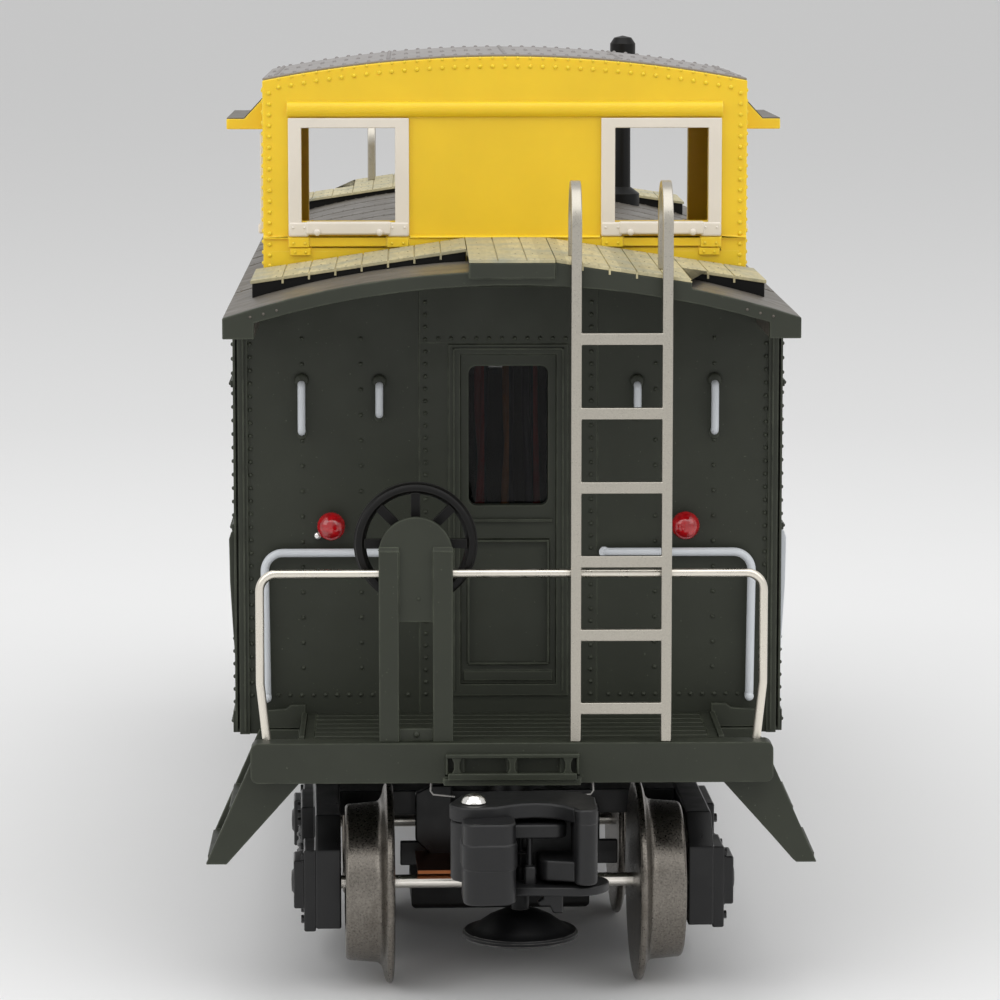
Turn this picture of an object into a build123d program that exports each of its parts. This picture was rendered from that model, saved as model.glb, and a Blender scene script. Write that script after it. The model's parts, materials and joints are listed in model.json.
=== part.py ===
"""O scale (1:48) steel caboose with an offset cupola, as an assembly of separate pieces.

Frame: origin on the rail flange line under the middle of the car, +X to the car's right
as seen from the cupola end, +Y along the car away from the cupola end, +Z up.
Every length is in millimetres.  The cupola end is called the front.
"""
import os
from math import cos, radians, sin, sqrt

from build123d import *

# ---- driving dimensions -------------------------------------------------------------
body_half_length = 82.0          # end wall faces
platform_half_length = 102.5     # outer faces of the end sills
roof_half_length = 101.0         # outer faces of the roof fascias
shell_half_width = 32.7          # side sheets
post_half_width = 32.1           # end walls, over the corner posts
wall = 1.6                       # moulded wall thickness
floor_bottom = 28.8              # underside of the floor and of the body shell
floor_top = 30.8
deck_top = 31.3                  # standing surface of the end platforms
sill_top = 31.5
sill_bottom = 26.8
sill_half_width = 30.1
eave_z = 78.0                    # where the roof sits on the side walls

roof_crown = 85.7
roof_radius = 105.0
roof_thickness = 1.6
roof_half_width = 33.0
eave_inner = 29.4                # inner face of the eave strips

cupola_front = -65.0
cupola_rear = -26.0
cupola_half_width = 29.5
cupola_side_top = 106.1
cupola_crown = 109.0
cupola_wall = 1.5

walk_top = 87.1                  # top of the boards along the roof's crown
walk_half_width = 4.9
walk_end_x = 30.4                # outer end of the cross boards
walk_end_top = 83.3
board_slope = (walk_top - walk_end_top) / (walk_end_x - walk_half_width)
landing_x = 20.5                 # the boards by the ladder reach the end of the roof
board = 0.4                      # thickness of the roof boards
plank_width = 3.1

axle_height = 12.0               # the flanges touch Z = 0
flange_radius = 12.0
tread_radius = 9.5
wheel_back = 14.25               # half the distance between the wheel backs
wheel_width = 5.75
axle_radius = 0.8
truck_offset = 70.0              # truck centres from the middle of the car
half_wheelbase = 17.5
truck_yaw = 1.5                  # how far each truck stands turned on its kingpin, degrees
bolster_gap = 0.2                # between a truck's centre plate and the body bolster
running = 0.06                   # radial clearance of turning fits

roof_axis_z = roof_crown - roof_radius
ENDS = {"front": 0, "rear": 180}


# ---- helpers ------------------------------------------------------------------------
def block(x0, x1, y0, y1, z0, z1, mode=Mode.ADD):
    """A box between two corners, joined to the part being built."""
    with Locations(((x0 + x1) / 2, (y0 + y1) / 2, (z0 + z1) / 2)):
        Box(x1 - x0, y1 - y0, z1 - z0, mode=mode)


def rod(centre, axis, radius, length, mode=Mode.ADD):
    """A cylinder about its centre, along X, Y or Z."""
    turn = {"X": (0, 90, 0), "Y": (90, 0, 0), "Z": (0, 0, 0)}[axis]
    with Locations(Location(centre, turn)):
        Cylinder(radius, length, mode=mode)


def across(y_near, y_far, points):
    """A face in a plane across the car, given by (x, z) points, and its length along +Y."""
    plane = Plane(origin=(0, y_far, 0), x_dir=(1, 0, 0), z_dir=(0, -1, 0))
    with BuildSketch(plane) as section:
        with BuildLine():
            Polyline(*points, close=True)
        make_face()
    return section.sketch, y_far - y_near


def along(x_low, x_high, points):
    """A face in a plane along the car, given by (y, z) points, and its length along +X."""
    plane = Plane(origin=(x_low, 0, 0), x_dir=(0, 1, 0), z_dir=(1, 0, 0))
    with BuildSketch(plane) as section:
        with BuildLine():
            Polyline(*points, close=True)
        make_face()
    return section.sketch, x_high - x_low


def slab(outline, mode=Mode.ADD):
    """Extrude what across() or along() gave, into the part being built."""
    face, length = outline
    extrude(to_extrude=face, amount=length, mode=mode)


def wire(points, bend, radius):
    """A bent wire along straight runs with rounded corners."""
    with BuildPart() as bent:
        with BuildLine():
            path = FilletPolyline(*points, radius=bend)
        with BuildSketch(Plane(origin=path @ 0, z_dir=path % 0)):
            Circle(radius)
        sweep(path=path)
    return bent.part


def arch_z(x, crown=roof_crown, radius=roof_radius):
    """Height of an arched roof at a distance x from the middle of the car."""
    return crown - radius + sqrt(radius ** 2 - x ** 2)


def at_end(shape, turn):
    """A piece made for the front, turned half round for the rear."""
    return shape.rotate(Axis.Z, turn)


def save(shape, name):
    """Label a piece and write it."""
    shape.label = name
    export_step(shape, f"parts/{name}.step")


os.makedirs("parts", exist_ok=True)

# ---- body shell ---------------------------------------------------------------------
side_window_centres = (-57.0, -14.0, 22.0, 58.0)
side_window_width = 11.0
side_window_bottom = 55.5
side_window_top = 68.5
door_half_width = 5.7
door_bottom = 34.8
door_top = 74.4
screw_x = 28.0
screw_y = 60.0
screw_radius = 0.95

inner_half_width = shell_half_width - wall
inner_half_length = body_half_length - wall
shoulder_z = arch_z(eave_inner, roof_crown - roof_thickness, roof_radius - roof_thickness)

with BuildPart() as body_shell:
    # side sheets
    block(-shell_half_width, shell_half_width, -81.0, 81.0, floor_bottom, eave_z)
    block(-inner_half_width, inner_half_width, -inner_half_length, inner_half_length,
          floor_bottom - 1, eave_z + 1, Mode.SUBTRACT)
    # end walls, arched to the underside of the roof
    for y_near in (-body_half_length, inner_half_length):
        end_plane = Plane(origin=(0, y_near + wall, 0), x_dir=(1, 0, 0), z_dir=(0, -1, 0))
        with BuildSketch(end_plane):
            with BuildLine():
                Polyline((eave_inner, shoulder_z), (eave_inner, eave_z),
                         (post_half_width, eave_z), (post_half_width, floor_bottom),
                         (-post_half_width, floor_bottom), (-post_half_width, eave_z),
                         (-eave_inner, eave_z), (-eave_inner, shoulder_z))
                ThreePointArc((-eave_inner, shoulder_z), (0, roof_crown - roof_thickness),
                              (eave_inner, shoulder_z))
            make_face()
        extrude(amount=wall)
    # raised sheets, posts and door frames on the end walls
    for face_y, out in ((-body_half_length, -1), (body_half_length, 1)):
        for depth, x_half, z_low, z_high in ((0.15, 10.6, floor_bottom, 77.0),
                                             (0.45, 7.1, 33.4, 75.6)):
            y_pair = sorted((face_y, face_y + out * depth))
            block(-x_half, x_half, y_pair[0], y_pair[1], z_low, z_high)
        for x_post in (-31.5, 31.5):
            y_pair = sorted((face_y, face_y + out * 0.35))
            block(x_post - 0.6, x_post + 0.6, y_pair[0], y_pair[1], floor_bottom, eave_z)
    # door openings through both ends
    block(-door_half_width, door_half_width, -90, 90, door_bottom, door_top, Mode.SUBTRACT)
    # side windows
    for y in side_window_centres:
        block(-40, 40, y - side_window_width / 2, y + side_window_width / 2,
              side_window_bottom, side_window_top, Mode.SUBTRACT)
    # side sill strips and belt rails
    for side in (-1, 1):
        for z_low, z_high in ((floor_bottom, 31.4), (53.2, 54.0), (70.4, 71.2)):
            x_pair = sorted((side * shell_half_width, side * (shell_half_width + 0.25)))
            block(x_pair[0], x_pair[1], -81.0, 81.0, z_low, z_high)
    # screw bosses in the corners
    for side in (-1, 1):
        for y in (-screw_y, screw_y):
            x_pair = sorted((side * (screw_x - 2.8), side * inner_half_width))
            block(x_pair[0], x_pair[1], y - 2.8, y + 2.8, floor_top, 44.0)
            rod((side * screw_x, y, 36.4), "Z", screw_radius, 13.0, Mode.SUBTRACT)
save(body_shell.part, "body_shell")

# ---- roof and fascias ---------------------------------------------------------------
fascia_depth = 1.2
eave_top = arch_z(roof_half_width)


def roof_section(y_near, y_far):
    """The roof's arched section with its eave strips, extruded between two stations."""
    with BuildPart() as length_of_roof:
        with BuildSketch(Plane(origin=(0, y_far, 0), x_dir=(1, 0, 0), z_dir=(0, -1, 0))):
            with BuildLine():
                ThreePointArc((-roof_half_width, eave_top), (0, roof_crown),
                              (roof_half_width, eave_top))
                Polyline((roof_half_width, eave_top), (roof_half_width, eave_z),
                         (eave_inner, eave_z), (eave_inner, shoulder_z))
                ThreePointArc((eave_inner, shoulder_z), (0, roof_crown - roof_thickness),
                              (-eave_inner, shoulder_z))
                Polyline((-eave_inner, shoulder_z), (-eave_inner, eave_z),
                         (-roof_half_width, eave_z), (-roof_half_width, eave_top))
            make_face()
        extrude(amount=y_far - y_near)
    return length_of_roof.part


roof_sheet_half = roof_half_length - fascia_depth
roof_blank = roof_section(-roof_sheet_half, roof_sheet_half)
with BuildPart() as roof:
    add(roof_blank)
    # opening under the cupola
    block(-27.5, 27.5, cupola_front + 2, cupola_rear - 2, 75, 90, Mode.SUBTRACT)
save(roof.part, "roof")

fascia_blank = roof_section(-roof_half_length, -roof_sheet_half)
filler_outline = across(-roof_half_length, -roof_sheet_half,
                        [(walk_half_width, 84.0), (landing_x, 83.0),
                         (landing_x, walk_top - board - board_slope * (landing_x - walk_half_width)),
                         (walk_half_width, walk_top - board)])
with BuildPart() as roof_fascia:
    add(fascia_blank)
    # filler under the boards by the ladder
    slab(filler_outline)
    # block that carries the ends of the boards
    block(-walk_half_width, walk_half_width, -roof_half_length - 0.6, -roof_sheet_half,
          84.9, walk_top - board)
fascia_pair = [at_end(roof_fascia.part, turn) for turn in ENDS.values()]
with BuildPart() as roof_fascias:
    add(fascia_pair)
save(roof_fascias.part, "roof_fascias")

# ---- cupola -------------------------------------------------------------------------
cupola_radius = (cupola_half_width ** 2 + (cupola_crown - cupola_side_top) ** 2) / (
    2 * (cupola_crown - cupola_side_top))
cupola_roof_thickness = 0.3
cupola_roof_inset = 0.8
end_window = (13.4, 24.8, 89.05, 100.4)         # x low, x high, z low, z high
rear_window_drop = 2.75          # the rear pair reaches lower
side_window_spans = ((-56.3, -46.5), (-44.5, -34.7))
side_window_z = (88.2, 98.4)
moulding_depth = 0.35
end_mouldings = ((26.5, 101.8, 103.5), (cupola_half_width, 86.9, 87.2), (26.4, 86.0, 86.9))
window_tabs = ((11.8, 14.4, 85.9, 87.1, 0.6), (23.9, 26.4, 85.9, 87.1, 0.6),
               (23.7, 26.2, 84.9, 85.8, 0.45))


def cupola_arch(lift):
    """Corner height and crown height of the cupola's arch, lifted."""
    return cupola_side_top + lift, cupola_crown + lift


with BuildPart() as cupola_shell:
    with BuildSketch(Plane(origin=(0, cupola_rear, 0), x_dir=(1, 0, 0), z_dir=(0, -1, 0))):
        with BuildLine():
            ThreePointArc((-cupola_half_width, cupola_side_top), (0, cupola_crown),
                          (cupola_half_width, cupola_side_top))
            Polyline((cupola_half_width, cupola_side_top), (cupola_half_width, 80.5),
                     (-cupola_half_width, 80.5), (-cupola_half_width, cupola_side_top))
        make_face()
    extrude(amount=cupola_rear - cupola_front)
    # mouldings across the end walls: below the arch, under the windows, and their tabs
    for face_y, out in ((cupola_front, -1), (cupola_rear, 1)):
        y_pair = sorted((face_y, face_y + out * moulding_depth))
        for x_half, z_low, z_high in end_mouldings:
            block(-x_half, x_half, y_pair[0], y_pair[1], z_low, z_high)
        for side in (-1, 1):
            for x_low, x_high, z_low, z_high, depth in window_tabs:
                x_pair = sorted((side * x_low, side * x_high))
                y_pair = sorted((face_y, face_y + out * depth))
                block(x_pair[0], x_pair[1], y_pair[0], y_pair[1], z_low, z_high)
    # room inside, open to the roof opening below and to the arched roof above
    block(-cupola_half_width + cupola_wall, cupola_half_width - cupola_wall,
          cupola_front + cupola_wall, cupola_rear - cupola_wall, 70, 112, Mode.SUBTRACT)
    # end windows and side windows
    for side in (-1, 1):
        x_pair = sorted((side * end_window[0], side * end_window[1]))
        block(x_pair[0], x_pair[1], cupola_front - 3, cupola_rear + 3,
              end_window[2], end_window[3], Mode.SUBTRACT)
        block(x_pair[0], x_pair[1], cupola_rear - 3, cupola_rear + 3,
              end_window[2] - rear_window_drop, end_window[2], Mode.SUBTRACT)
    for y_low, y_high in side_window_spans:
        block(-40, 40, y_low, y_high, side_window_z[0], side_window_z[1], Mode.SUBTRACT)
    # the walls sit down on the arched roof
    rod((0, 0, roof_axis_z), "Y", roof_radius, 260, Mode.SUBTRACT)
save(cupola_shell.part, "cupola_shell")

low_side, low_crown = cupola_arch(0)
high_side, high_crown = cupola_arch(cupola_roof_thickness)
with BuildPart() as cupola_roof:
    roof_end = Plane(origin=(0, cupola_rear - cupola_roof_inset, 0), x_dir=(1, 0, 0),
                     z_dir=(0, -1, 0))
    with BuildSketch(roof_end):
        with BuildLine():
            ThreePointArc((-cupola_half_width, high_side), (0, high_crown),
                          (cupola_half_width, high_side))
            Line((cupola_half_width, high_side), (cupola_half_width, low_side))
            ThreePointArc((cupola_half_width, low_side), (0, low_crown),
                          (-cupola_half_width, low_side))
            Line((-cupola_half_width, low_side), (-cupola_half_width, high_side))
        make_face()
    extrude(amount=cupola_rear - cupola_front - 2 * cupola_roof_inset)
save(cupola_roof.part, "cupola_roof")

frame_depth = 0.6
frame_outer = (11.7, 26.4, 87.2, 101.6)
with BuildPart() as cupola_window_frames:
    for face_y, out in ((cupola_front, -1), (cupola_rear, 1)):
        y_pair = sorted((face_y, face_y + out * frame_depth))
        for side in (-1, 1):
            x_pair = sorted((side * frame_outer[0], side * frame_outer[1]))
            block(x_pair[0], x_pair[1], y_pair[0], y_pair[1], frame_outer[2], frame_outer[3])
            x_pair = sorted((side * end_window[0], side * end_window[1]))
            block(x_pair[0], x_pair[1], y_pair[0] - 1, y_pair[1] + 1,
                  end_window[2], end_window[3], Mode.SUBTRACT)
            block(x_pair[0], x_pair[1], cupola_rear - 1, cupola_rear + 1,
                  end_window[2] - rear_window_drop, end_window[2], Mode.SUBTRACT)
    for side in (-1, 1):
        x_pair = sorted((side * cupola_half_width, side * (cupola_half_width + frame_depth)))
        for y_low, y_high in side_window_spans:
            block(x_pair[0], x_pair[1], y_low - 0.9, y_high + 0.9,
                  side_window_z[0] - 1.2, side_window_z[1] + 1.0)
        for y_low, y_high in side_window_spans:
            block(x_pair[0] - 1, x_pair[1] + 1, y_low, y_high,
                  side_window_z[0], side_window_z[1], Mode.SUBTRACT)
    # the mouldings on the end walls pass under the sills
    for side in (-1, 1):
        x_pair = sorted((side * (frame_outer[0] - 0.1), side * (frame_outer[1] + 0.1)))
        block(x_pair[0], x_pair[1], cupola_front - 2, cupola_rear + 2,
              frame_outer[2] - 0.2, frame_outer[2], Mode.SUBTRACT)
save(cupola_window_frames.part, "cupola_window_frames")

visor_points = ((29.5, 103.9), (32.0, 101.2), (34.2, 101.2), (34.2, 99.9), (29.5, 99.9))
visor_near = -57.5
visor_far = -33.5
visor_outlines = [across(visor_near, visor_far, [(side * x, z) for x, z in visor_points])
                  for side in (-1, 1)]
with BuildPart() as cupola_visors:
    for outline in visor_outlines:
        slab(outline)
save(cupola_visors.part, "cupola_visors")

# ---- roof walks ---------------------------------------------------------------------
cross_near = -84.0
cross_far = cupola_front - frame_depth - 0.2
seam = 0.14
slat_height = 0.5


def board_z(x):
    """Top of the cross boards at a distance from the middle of the car."""
    return walk_top - board_slope * (abs(x) - walk_half_width)


def sloped(x_low, x_high, y_near, y_far, thickness, drop=0.0):
    """A sloping slab under the line of the cross boards, on the +X side or the -X side."""
    points = ((x_low, board_z(x_low) - drop), (x_high, board_z(x_high) - drop),
              (x_high, board_z(x_high) - drop - thickness), (x_low, board_z(x_low) - drop - thickness))
    return across(y_near, y_far, points)


right_boards = sloped(walk_half_width + 0.1, walk_end_x, cross_near, cross_far, board)
landing_boards = sloped(walk_half_width + 0.1, landing_x, -roof_half_length, cross_near, board)
left_boards = sloped(-walk_end_x, -walk_half_width - 0.1, cross_near, cross_far, board)
seam_places = [walk_half_width + plank_width * n for n in range(1, 9)]
with BuildPart() as cross_walk:
    for boards in (right_boards, landing_boards, left_boards):
        slab(boards)
    # scribed seams between the planks
    for x in seam_places:
        for side in (-1, 1):
            if x < walk_end_x - 1:
                block(side * x - seam / 2, side * x + seam / 2, -105, -60,
                      board_z(x) - 0.18, board_z(x) + 1, Mode.SUBTRACT)
cross_walks = [at_end(cross_walk.part, turn) for turn in ENDS.values()]
# curved slats across the roof behind the cupola
slat_stations = ((-24.3, -22.5), (-21.6, -19.8))
slat_half_width = 27.0
with BuildPart() as roof_slats:
    for y_low, y_high in slat_stations:
        rod((0, (y_low + y_high) / 2, roof_axis_z), "Y", roof_radius + slat_height, y_high - y_low)
        rod((0, (y_low + y_high) / 2, roof_axis_z), "Y", roof_radius, y_high - y_low, Mode.SUBTRACT)
    # only the crown of the ring is wanted, either side of the long walk
    for x_low, x_high, z_low, z_high in ((-200, 200, -200, 75), (-200, -slat_half_width, 70, 120),
                                         (slat_half_width, 200, 70, 120),
                                         (-walk_half_width - 0.1, walk_half_width + 0.1, 70, 120)):
        block(x_low, x_high, -30, -10, z_low, z_high, Mode.SUBTRACT)
with BuildPart() as roof_walk_cross:
    add(cross_walks)
    add(roof_slats.part)
save(roof_walk_cross.part, "roof_walk_cross")

with BuildPart() as roof_walk_long:
    walk_end_y = roof_half_length + 0.6
    for y_low, y_high in ((-walk_end_y, cross_far), (cupola_rear + frame_depth + 0.2, walk_end_y)):
        block(-walk_half_width, walk_half_width, y_low, y_high, walk_top - board, walk_top)
        for x in (-1.65, 1.65):
            block(x - seam / 2, x + seam / 2, y_low - 1, y_high + 1,
                  walk_top - 0.18, walk_top + 1, Mode.SUBTRACT)
save(roof_walk_long.part, "roof_walk_long")

support_depth = 3.0
support_slabs = [
    sloped(walk_half_width + 0.2, walk_end_x - 0.2, cross_near + 0.2, cross_far - 0.4,
           support_depth, board),
    sloped(walk_half_width + 0.2, landing_x - 0.2, -roof_sheet_half, cross_near + 0.2,
           support_depth, board),
    sloped(-walk_end_x + 0.2, -walk_half_width - 0.2, cross_near + 0.2, cross_far - 0.4,
           support_depth, board)]
with BuildPart() as end_supports:
    for support in support_slabs:
        slab(support)
    rod((0, 0, roof_axis_z), "Y", roof_radius, 260, Mode.SUBTRACT)
support_pair = [at_end(end_supports.part, turn) for turn in ENDS.values()]
cleat_places = [-96, -84, -72] + [-18 + 12.5 * n for n in range(10)]
with BuildPart() as roof_walk_supports:
    add(support_pair)
    for y in cleat_places:
        block(-4.4, 4.4, y - 0.7, y + 0.7, 84.5, walk_top - board)
    rod((0, 0, roof_axis_z), "Y", roof_radius, 260, Mode.SUBTRACT)
save(roof_walk_supports.part, "roof_walk_supports")

# ---- smoke jack ---------------------------------------------------------------------
jack_x = 20.5
jack_y = 58.0
jack_base = arch_z(jack_x)
with BuildPart() as smoke_jack:
    with BuildSketch(Plane(origin=(jack_x, jack_y, 0), x_dir=(1, 0, 0), z_dir=(0, -1, 0))):
        with BuildLine():
            Polyline((0, 82.0), (2.6, 82.0), (2.6, jack_base + 1.4), (1.25, jack_base + 2.4),
                     (1.15, 105.2), (1.75, 105.3), (1.9, 105.9), (1.9, 107.6), (1.3, 108.5),
                     (0, 108.8), close=True)
        make_face()
    revolve(axis=Axis((jack_x, jack_y, 0), (0, 0, 1)))
    rod((0, 0, roof_axis_z), "Y", roof_radius, 260, Mode.SUBTRACT)
save(smoke_jack.part, "smoke_jack")

# ---- underframe ---------------------------------------------------------------------
kingpin_radius = 2.0
sill_depth_z = 24.5
pad_z = 23.9                     # flat pad under the centre sill
pad_half_length = 36.0
with BuildPart() as underframe:
    block(-inner_half_width + 0.1, inner_half_width - 0.1, -inner_half_length + 0.1,
          inner_half_length - 0.1, floor_bottom, floor_top)
    # centre sill, body bolsters and cross bearers
    block(-5, 5, -74, 74, sill_depth_z, floor_bottom)
    for y in (-truck_offset, truck_offset):
        block(-12, 12, y - 3.9, y + 3.9, sill_depth_z, floor_bottom)
        rod((0, y, 27.6), "Z", kingpin_radius, 6.6, Mode.SUBTRACT)
    block(-5, 5, -pad_half_length, pad_half_length, pad_z, sill_depth_z)
    for y in (-32, 0, 32):
        block(-27, 27, y - 1.2, y + 1.2, 26.0, floor_bottom)
    for side in (-1, 1):
        x_pair = sorted((side * 25.5, side * 27.0))
        block(x_pair[0], x_pair[1], -44, 44, 26.0, floor_bottom)
        for y in (-screw_y, screw_y):
            rod((side * screw_x, y, 29.8), "Z", screw_radius, 4, Mode.SUBTRACT)
    # underbody air tank and brake cylinder, cast on
    for x, y, radius, length in ((14, 14, 2.1, 26), (-14, -15, 2.1, 12), (-14, -23, 0.9, 6)):
        rod((x, y, sill_depth_z + 2.15), "Y", radius, length)
        block(x - 0.6, x + 0.6, y - length / 3, y + length / 3, 26.6, floor_bottom)
save(underframe.part, "underframe")

with BuildPart() as assembly_screws:
    for side in (-1, 1):
        for y in (-screw_y, screw_y):
            rod((side * screw_x, y, 35.4), "Z", screw_radius, 13.2)
            rod((side * screw_x, y, 28.1), "Z", 1.9, 1.4)
            block(side * screw_x - 1.5, side * screw_x + 1.5, y - 0.2, y + 0.2,
                  27.3, 27.8, Mode.SUBTRACT)
    # shouldered kingpin screws that the trucks swing on
    for y in (-truck_offset, truck_offset):
        rod((0, y, 23.9), "Z", kingpin_radius, 13.8)
        rod((0, y, 16.1), "Z", 3.4, 1.8)
        block(-2.6, 2.6, y - 0.4, y + 0.4, 15.1, 15.8, Mode.SUBTRACT)
save(assembly_screws.part, "assembly_screws")

# ---- end platforms ------------------------------------------------------------------
deck_half_width = 24.0
sill_thickness = 3.0
pocket_depth = 0.7
sill_inner_y = -platform_half_length + sill_thickness
with BuildPart() as platform_front:
    # end sill with rounded lower corners
    with BuildSketch(Plane(origin=(0, sill_inner_y, 0), x_dir=(1, 0, 0), z_dir=(0, -1, 0))):
        with Locations((0, (sill_top + sill_bottom) / 2)):
            RectangleRounded(2 * sill_half_width, sill_top - sill_bottom, 0.9)
    extrude(amount=sill_thickness)
    # slatted deck
    block(-deck_half_width, deck_half_width, sill_inner_y, -body_half_length - 0.45, 29.8, deck_top)
    for n in range(6):
        y = sill_inner_y + 2.6 + 2.6 * n
        block(-deck_half_width - 1, deck_half_width + 1, y - 0.15, y + 0.15,
              deck_top - 0.35, deck_top + 1, Mode.SUBTRACT)
    # raised coamings beside the step wells
    for side in (-1, 1):
        x_pair = sorted((side * 22.9, side * 24.0))
        block(x_pair[0], x_pair[1], sill_inner_y, -body_half_length - 0.45, 29.8, deck_top + 0.1)
    # tongue that runs back under the floor
    block(-12, 12, -97, -74.4, 27.2, floor_bottom)
    block(-12, 12, -97, -body_half_length - 0.45, floor_bottom, 29.8)
    # three pocket compartments over the coupler
    for x_low, x_high in ((-7.7, -6.5), (-5.5, -0.6), (0.5, 5.5), (6.5, 7.7)):
        block(x_low, x_high, -platform_half_length - 1, -platform_half_length + pocket_depth,
              27.6, 29.8, Mode.SUBTRACT)
    # plate under the pocket
    block(-7.9, 7.9, -platform_half_length - 0.5, sill_inner_y, 26.6, 27.4)
step_cheek_near = sill_inner_y
step_cheek_far = -83.6
cheek = 1.0
cheek_points = ((21.4, 29.8), (29.7, 29.8), (35.5, 16.7), (33.1, 16.7))
tread_places = ((33.0, 35.3, 16.9), (28.2, 32.8, 22.4))
cheek_outlines = [across(y, y + cheek, [(side * x, z) for x, z in cheek_points])
                  for side in (-1, 1) for y in (step_cheek_near, step_cheek_far - cheek)]
with BuildPart() as steps_front:
    for outline in cheek_outlines:
        slab(outline)
    for side in (-1, 1):
        for x_low, x_high, z in tread_places:
            x_pair = sorted((side * x_low, side * x_high))
            block(x_pair[0], x_pair[1], step_cheek_near + cheek, step_cheek_far - cheek, z, z + 0.8)
        # tie under the platform's edge
        x_pair = sorted((side * 24.0, side * 25.0))
        block(x_pair[0], x_pair[1], step_cheek_near + cheek, step_cheek_far - cheek, 28.8, 29.8)
for end, turn in ENDS.items():
    save(at_end(platform_front.part, turn), f"platform_{end}")
    save(at_end(steps_front.part, turn), f"steps_{end}")

# ---- brake stand and wheel ----------------------------------------------------------
brake_x = -11.05
brake_z = 54.1
stand_near = -101.8
stand_far = -100.5
brake_shaft_radius = 0.6
with BuildPart() as brake_stand:
    for x_low, x_high in ((-15.3, -13.0), (-9.1, -6.8)):
        block(x_low, x_high, stand_near, stand_far, sill_top, brake_z - 0.4)
    block(-15.3, -6.8, stand_near + 0.5, stand_far, 45.4, 53.3)
    rod((brake_x, (stand_near + stand_far) / 2 + 0.25, 53.3), "Y", 4.25, 0.8)
    block(-13.0, -9.1, stand_near + 0.5, stand_far, sill_top, 33.0)
    # blind bearing hole for the hand wheel's shaft
    rod((brake_x, stand_far - 0.25, brake_z), "Y", brake_shaft_radius + running, 0.5, Mode.SUBTRACT)
wheel_plane = -98.35
with BuildPart() as brake_wheel:
    with Locations(Location((brake_x, wheel_plane, brake_z), (90, 0, 0))):
        Torus(6.35, 0.8)
    rod((brake_x, wheel_plane, brake_z), "Y", 1.5, 1.4)
    rod((brake_x, (stand_far - 0.4 + wheel_plane) / 2, brake_z), "Y", brake_shaft_radius,
        wheel_plane - stand_far + 0.4)
    for n in range(8):
        turn = radians(45 * n)
        middle = (brake_x + 3.8 * cos(turn), wheel_plane, brake_z + 3.8 * sin(turn))
        with Locations(Location(middle, (0, 90 - 45 * n, 0))):
            Box(0.9, 0.8, 4.9)
for end, turn in ENDS.items():
    save(at_end(brake_stand.part, turn), f"brake_stand_{end}")
    save(at_end(brake_wheel.part, turn), f"brake_wheel_{end}")

# ---- ladder -------------------------------------------------------------------------
stile_xs = (7.3, 17.7)
stile_width = 1.2
strip = 0.8                      # thickness of the bent metal strip
ladder_near = -102.2
ladder_far = ladder_near + strip
loop_radius = 5.2
loop_centre_y = ladder_near + loop_radius
loop_centre_z = 90.6
rung_height = 1.35
rung_zs = [35.4 + 8.53 * n for n in range(6)]
foot_near = loop_centre_y + loop_radius - strip


def ladder_strip(x):
    """One stile: straight up from the end sill, over a half circle and down to the boards."""
    with BuildPart() as stile:
        for y_low, z_low in ((ladder_near, sill_top), (foot_near, board_z(x + stile_width / 2))):
            block(x - stile_width / 2, x + stile_width / 2, y_low, y_low + strip, z_low, loop_centre_z)
        with BuildSketch(Plane(origin=(x - stile_width / 2, 0, 0), x_dir=(0, 1, 0), z_dir=(1, 0, 0))):
            with Locations((loop_centre_y, loop_centre_z)):
                Circle(loop_radius)
                Circle(loop_radius - strip, mode=Mode.SUBTRACT)
            with Locations((loop_centre_y, loop_centre_z - loop_radius)):
                Rectangle(4 * loop_radius, 2 * loop_radius, mode=Mode.SUBTRACT)
        extrude(amount=stile_width)
    # trim the foot to the slope of the boards
    foot = sloped(x - 1, x + 1, foot_near - 1, foot_near + strip + 1, 3.0)
    with BuildPart() as trimmed:
        add(stile.part)
        slab(foot, Mode.SUBTRACT)
    return trimmed.part


stiles = [ladder_strip(x) for x in stile_xs]
with BuildPart() as ladder:
    add(stiles)
    for z in rung_zs:
        block(stile_xs[0], stile_xs[1], ladder_near, ladder_far, z - rung_height / 2, z + rung_height / 2)
for end, turn in ENDS.items():
    save(at_end(ladder.part, turn), f"ladder_{end}")

# ---- wire rails and grab irons ------------------------------------------------------
rail_wire = 0.5
rail_y = -99.95
rail_top = 50.85
platform_rail = wire([(-28.3, rail_y, sill_top), (-29.0, rail_y, 38.0), (-29.0, rail_y, rail_top),
                      (29.0, rail_y, rail_top), (29.0, rail_y, 38.0), (28.3, rail_y, sill_top)],
                     2.0, rail_wire)
with BuildPart() as platform_rail_front:
    add(platform_rail)
    # cut flush with the top of the end sill
    block(-40, 40, -105, -95, sill_top - 3, sill_top, Mode.SUBTRACT)
for end, turn in ENDS.items():
    save(at_end(platform_rail_front.part, turn), f"platform_rail_{end}")

wall_wire = 0.5
standoff_y = -body_half_length - 1.25
wall_y = -body_half_length
wall_runs = [wire([(side * 11.4, wall_y, rail_top), (side * 11.4, standoff_y, rail_top),
                   (side * 29.0, standoff_y, rail_top), (side * 28.8, standoff_y, 33.4),
                   (side * 28.8, wall_y, 33.4)], [0.75, 2.2, 0.75], wall_wire)
             for side in (-1, 1)]
wall_rail_wires = [at_end(run, turn) for run in wall_runs for turn in ENDS.values()]
with BuildPart() as wall_rails:
    add(wall_rail_wires)
save(wall_rails.part, "wall_rails")


def upright_grab(x, z_low, z_high):
    """A short upright grab iron on the front end wall."""
    return wire([(x, wall_y, z_low), (x, standoff_y, z_low), (x, standoff_y, z_high),
                 (x, wall_y, z_high)], 0.6, wall_wire)


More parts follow.
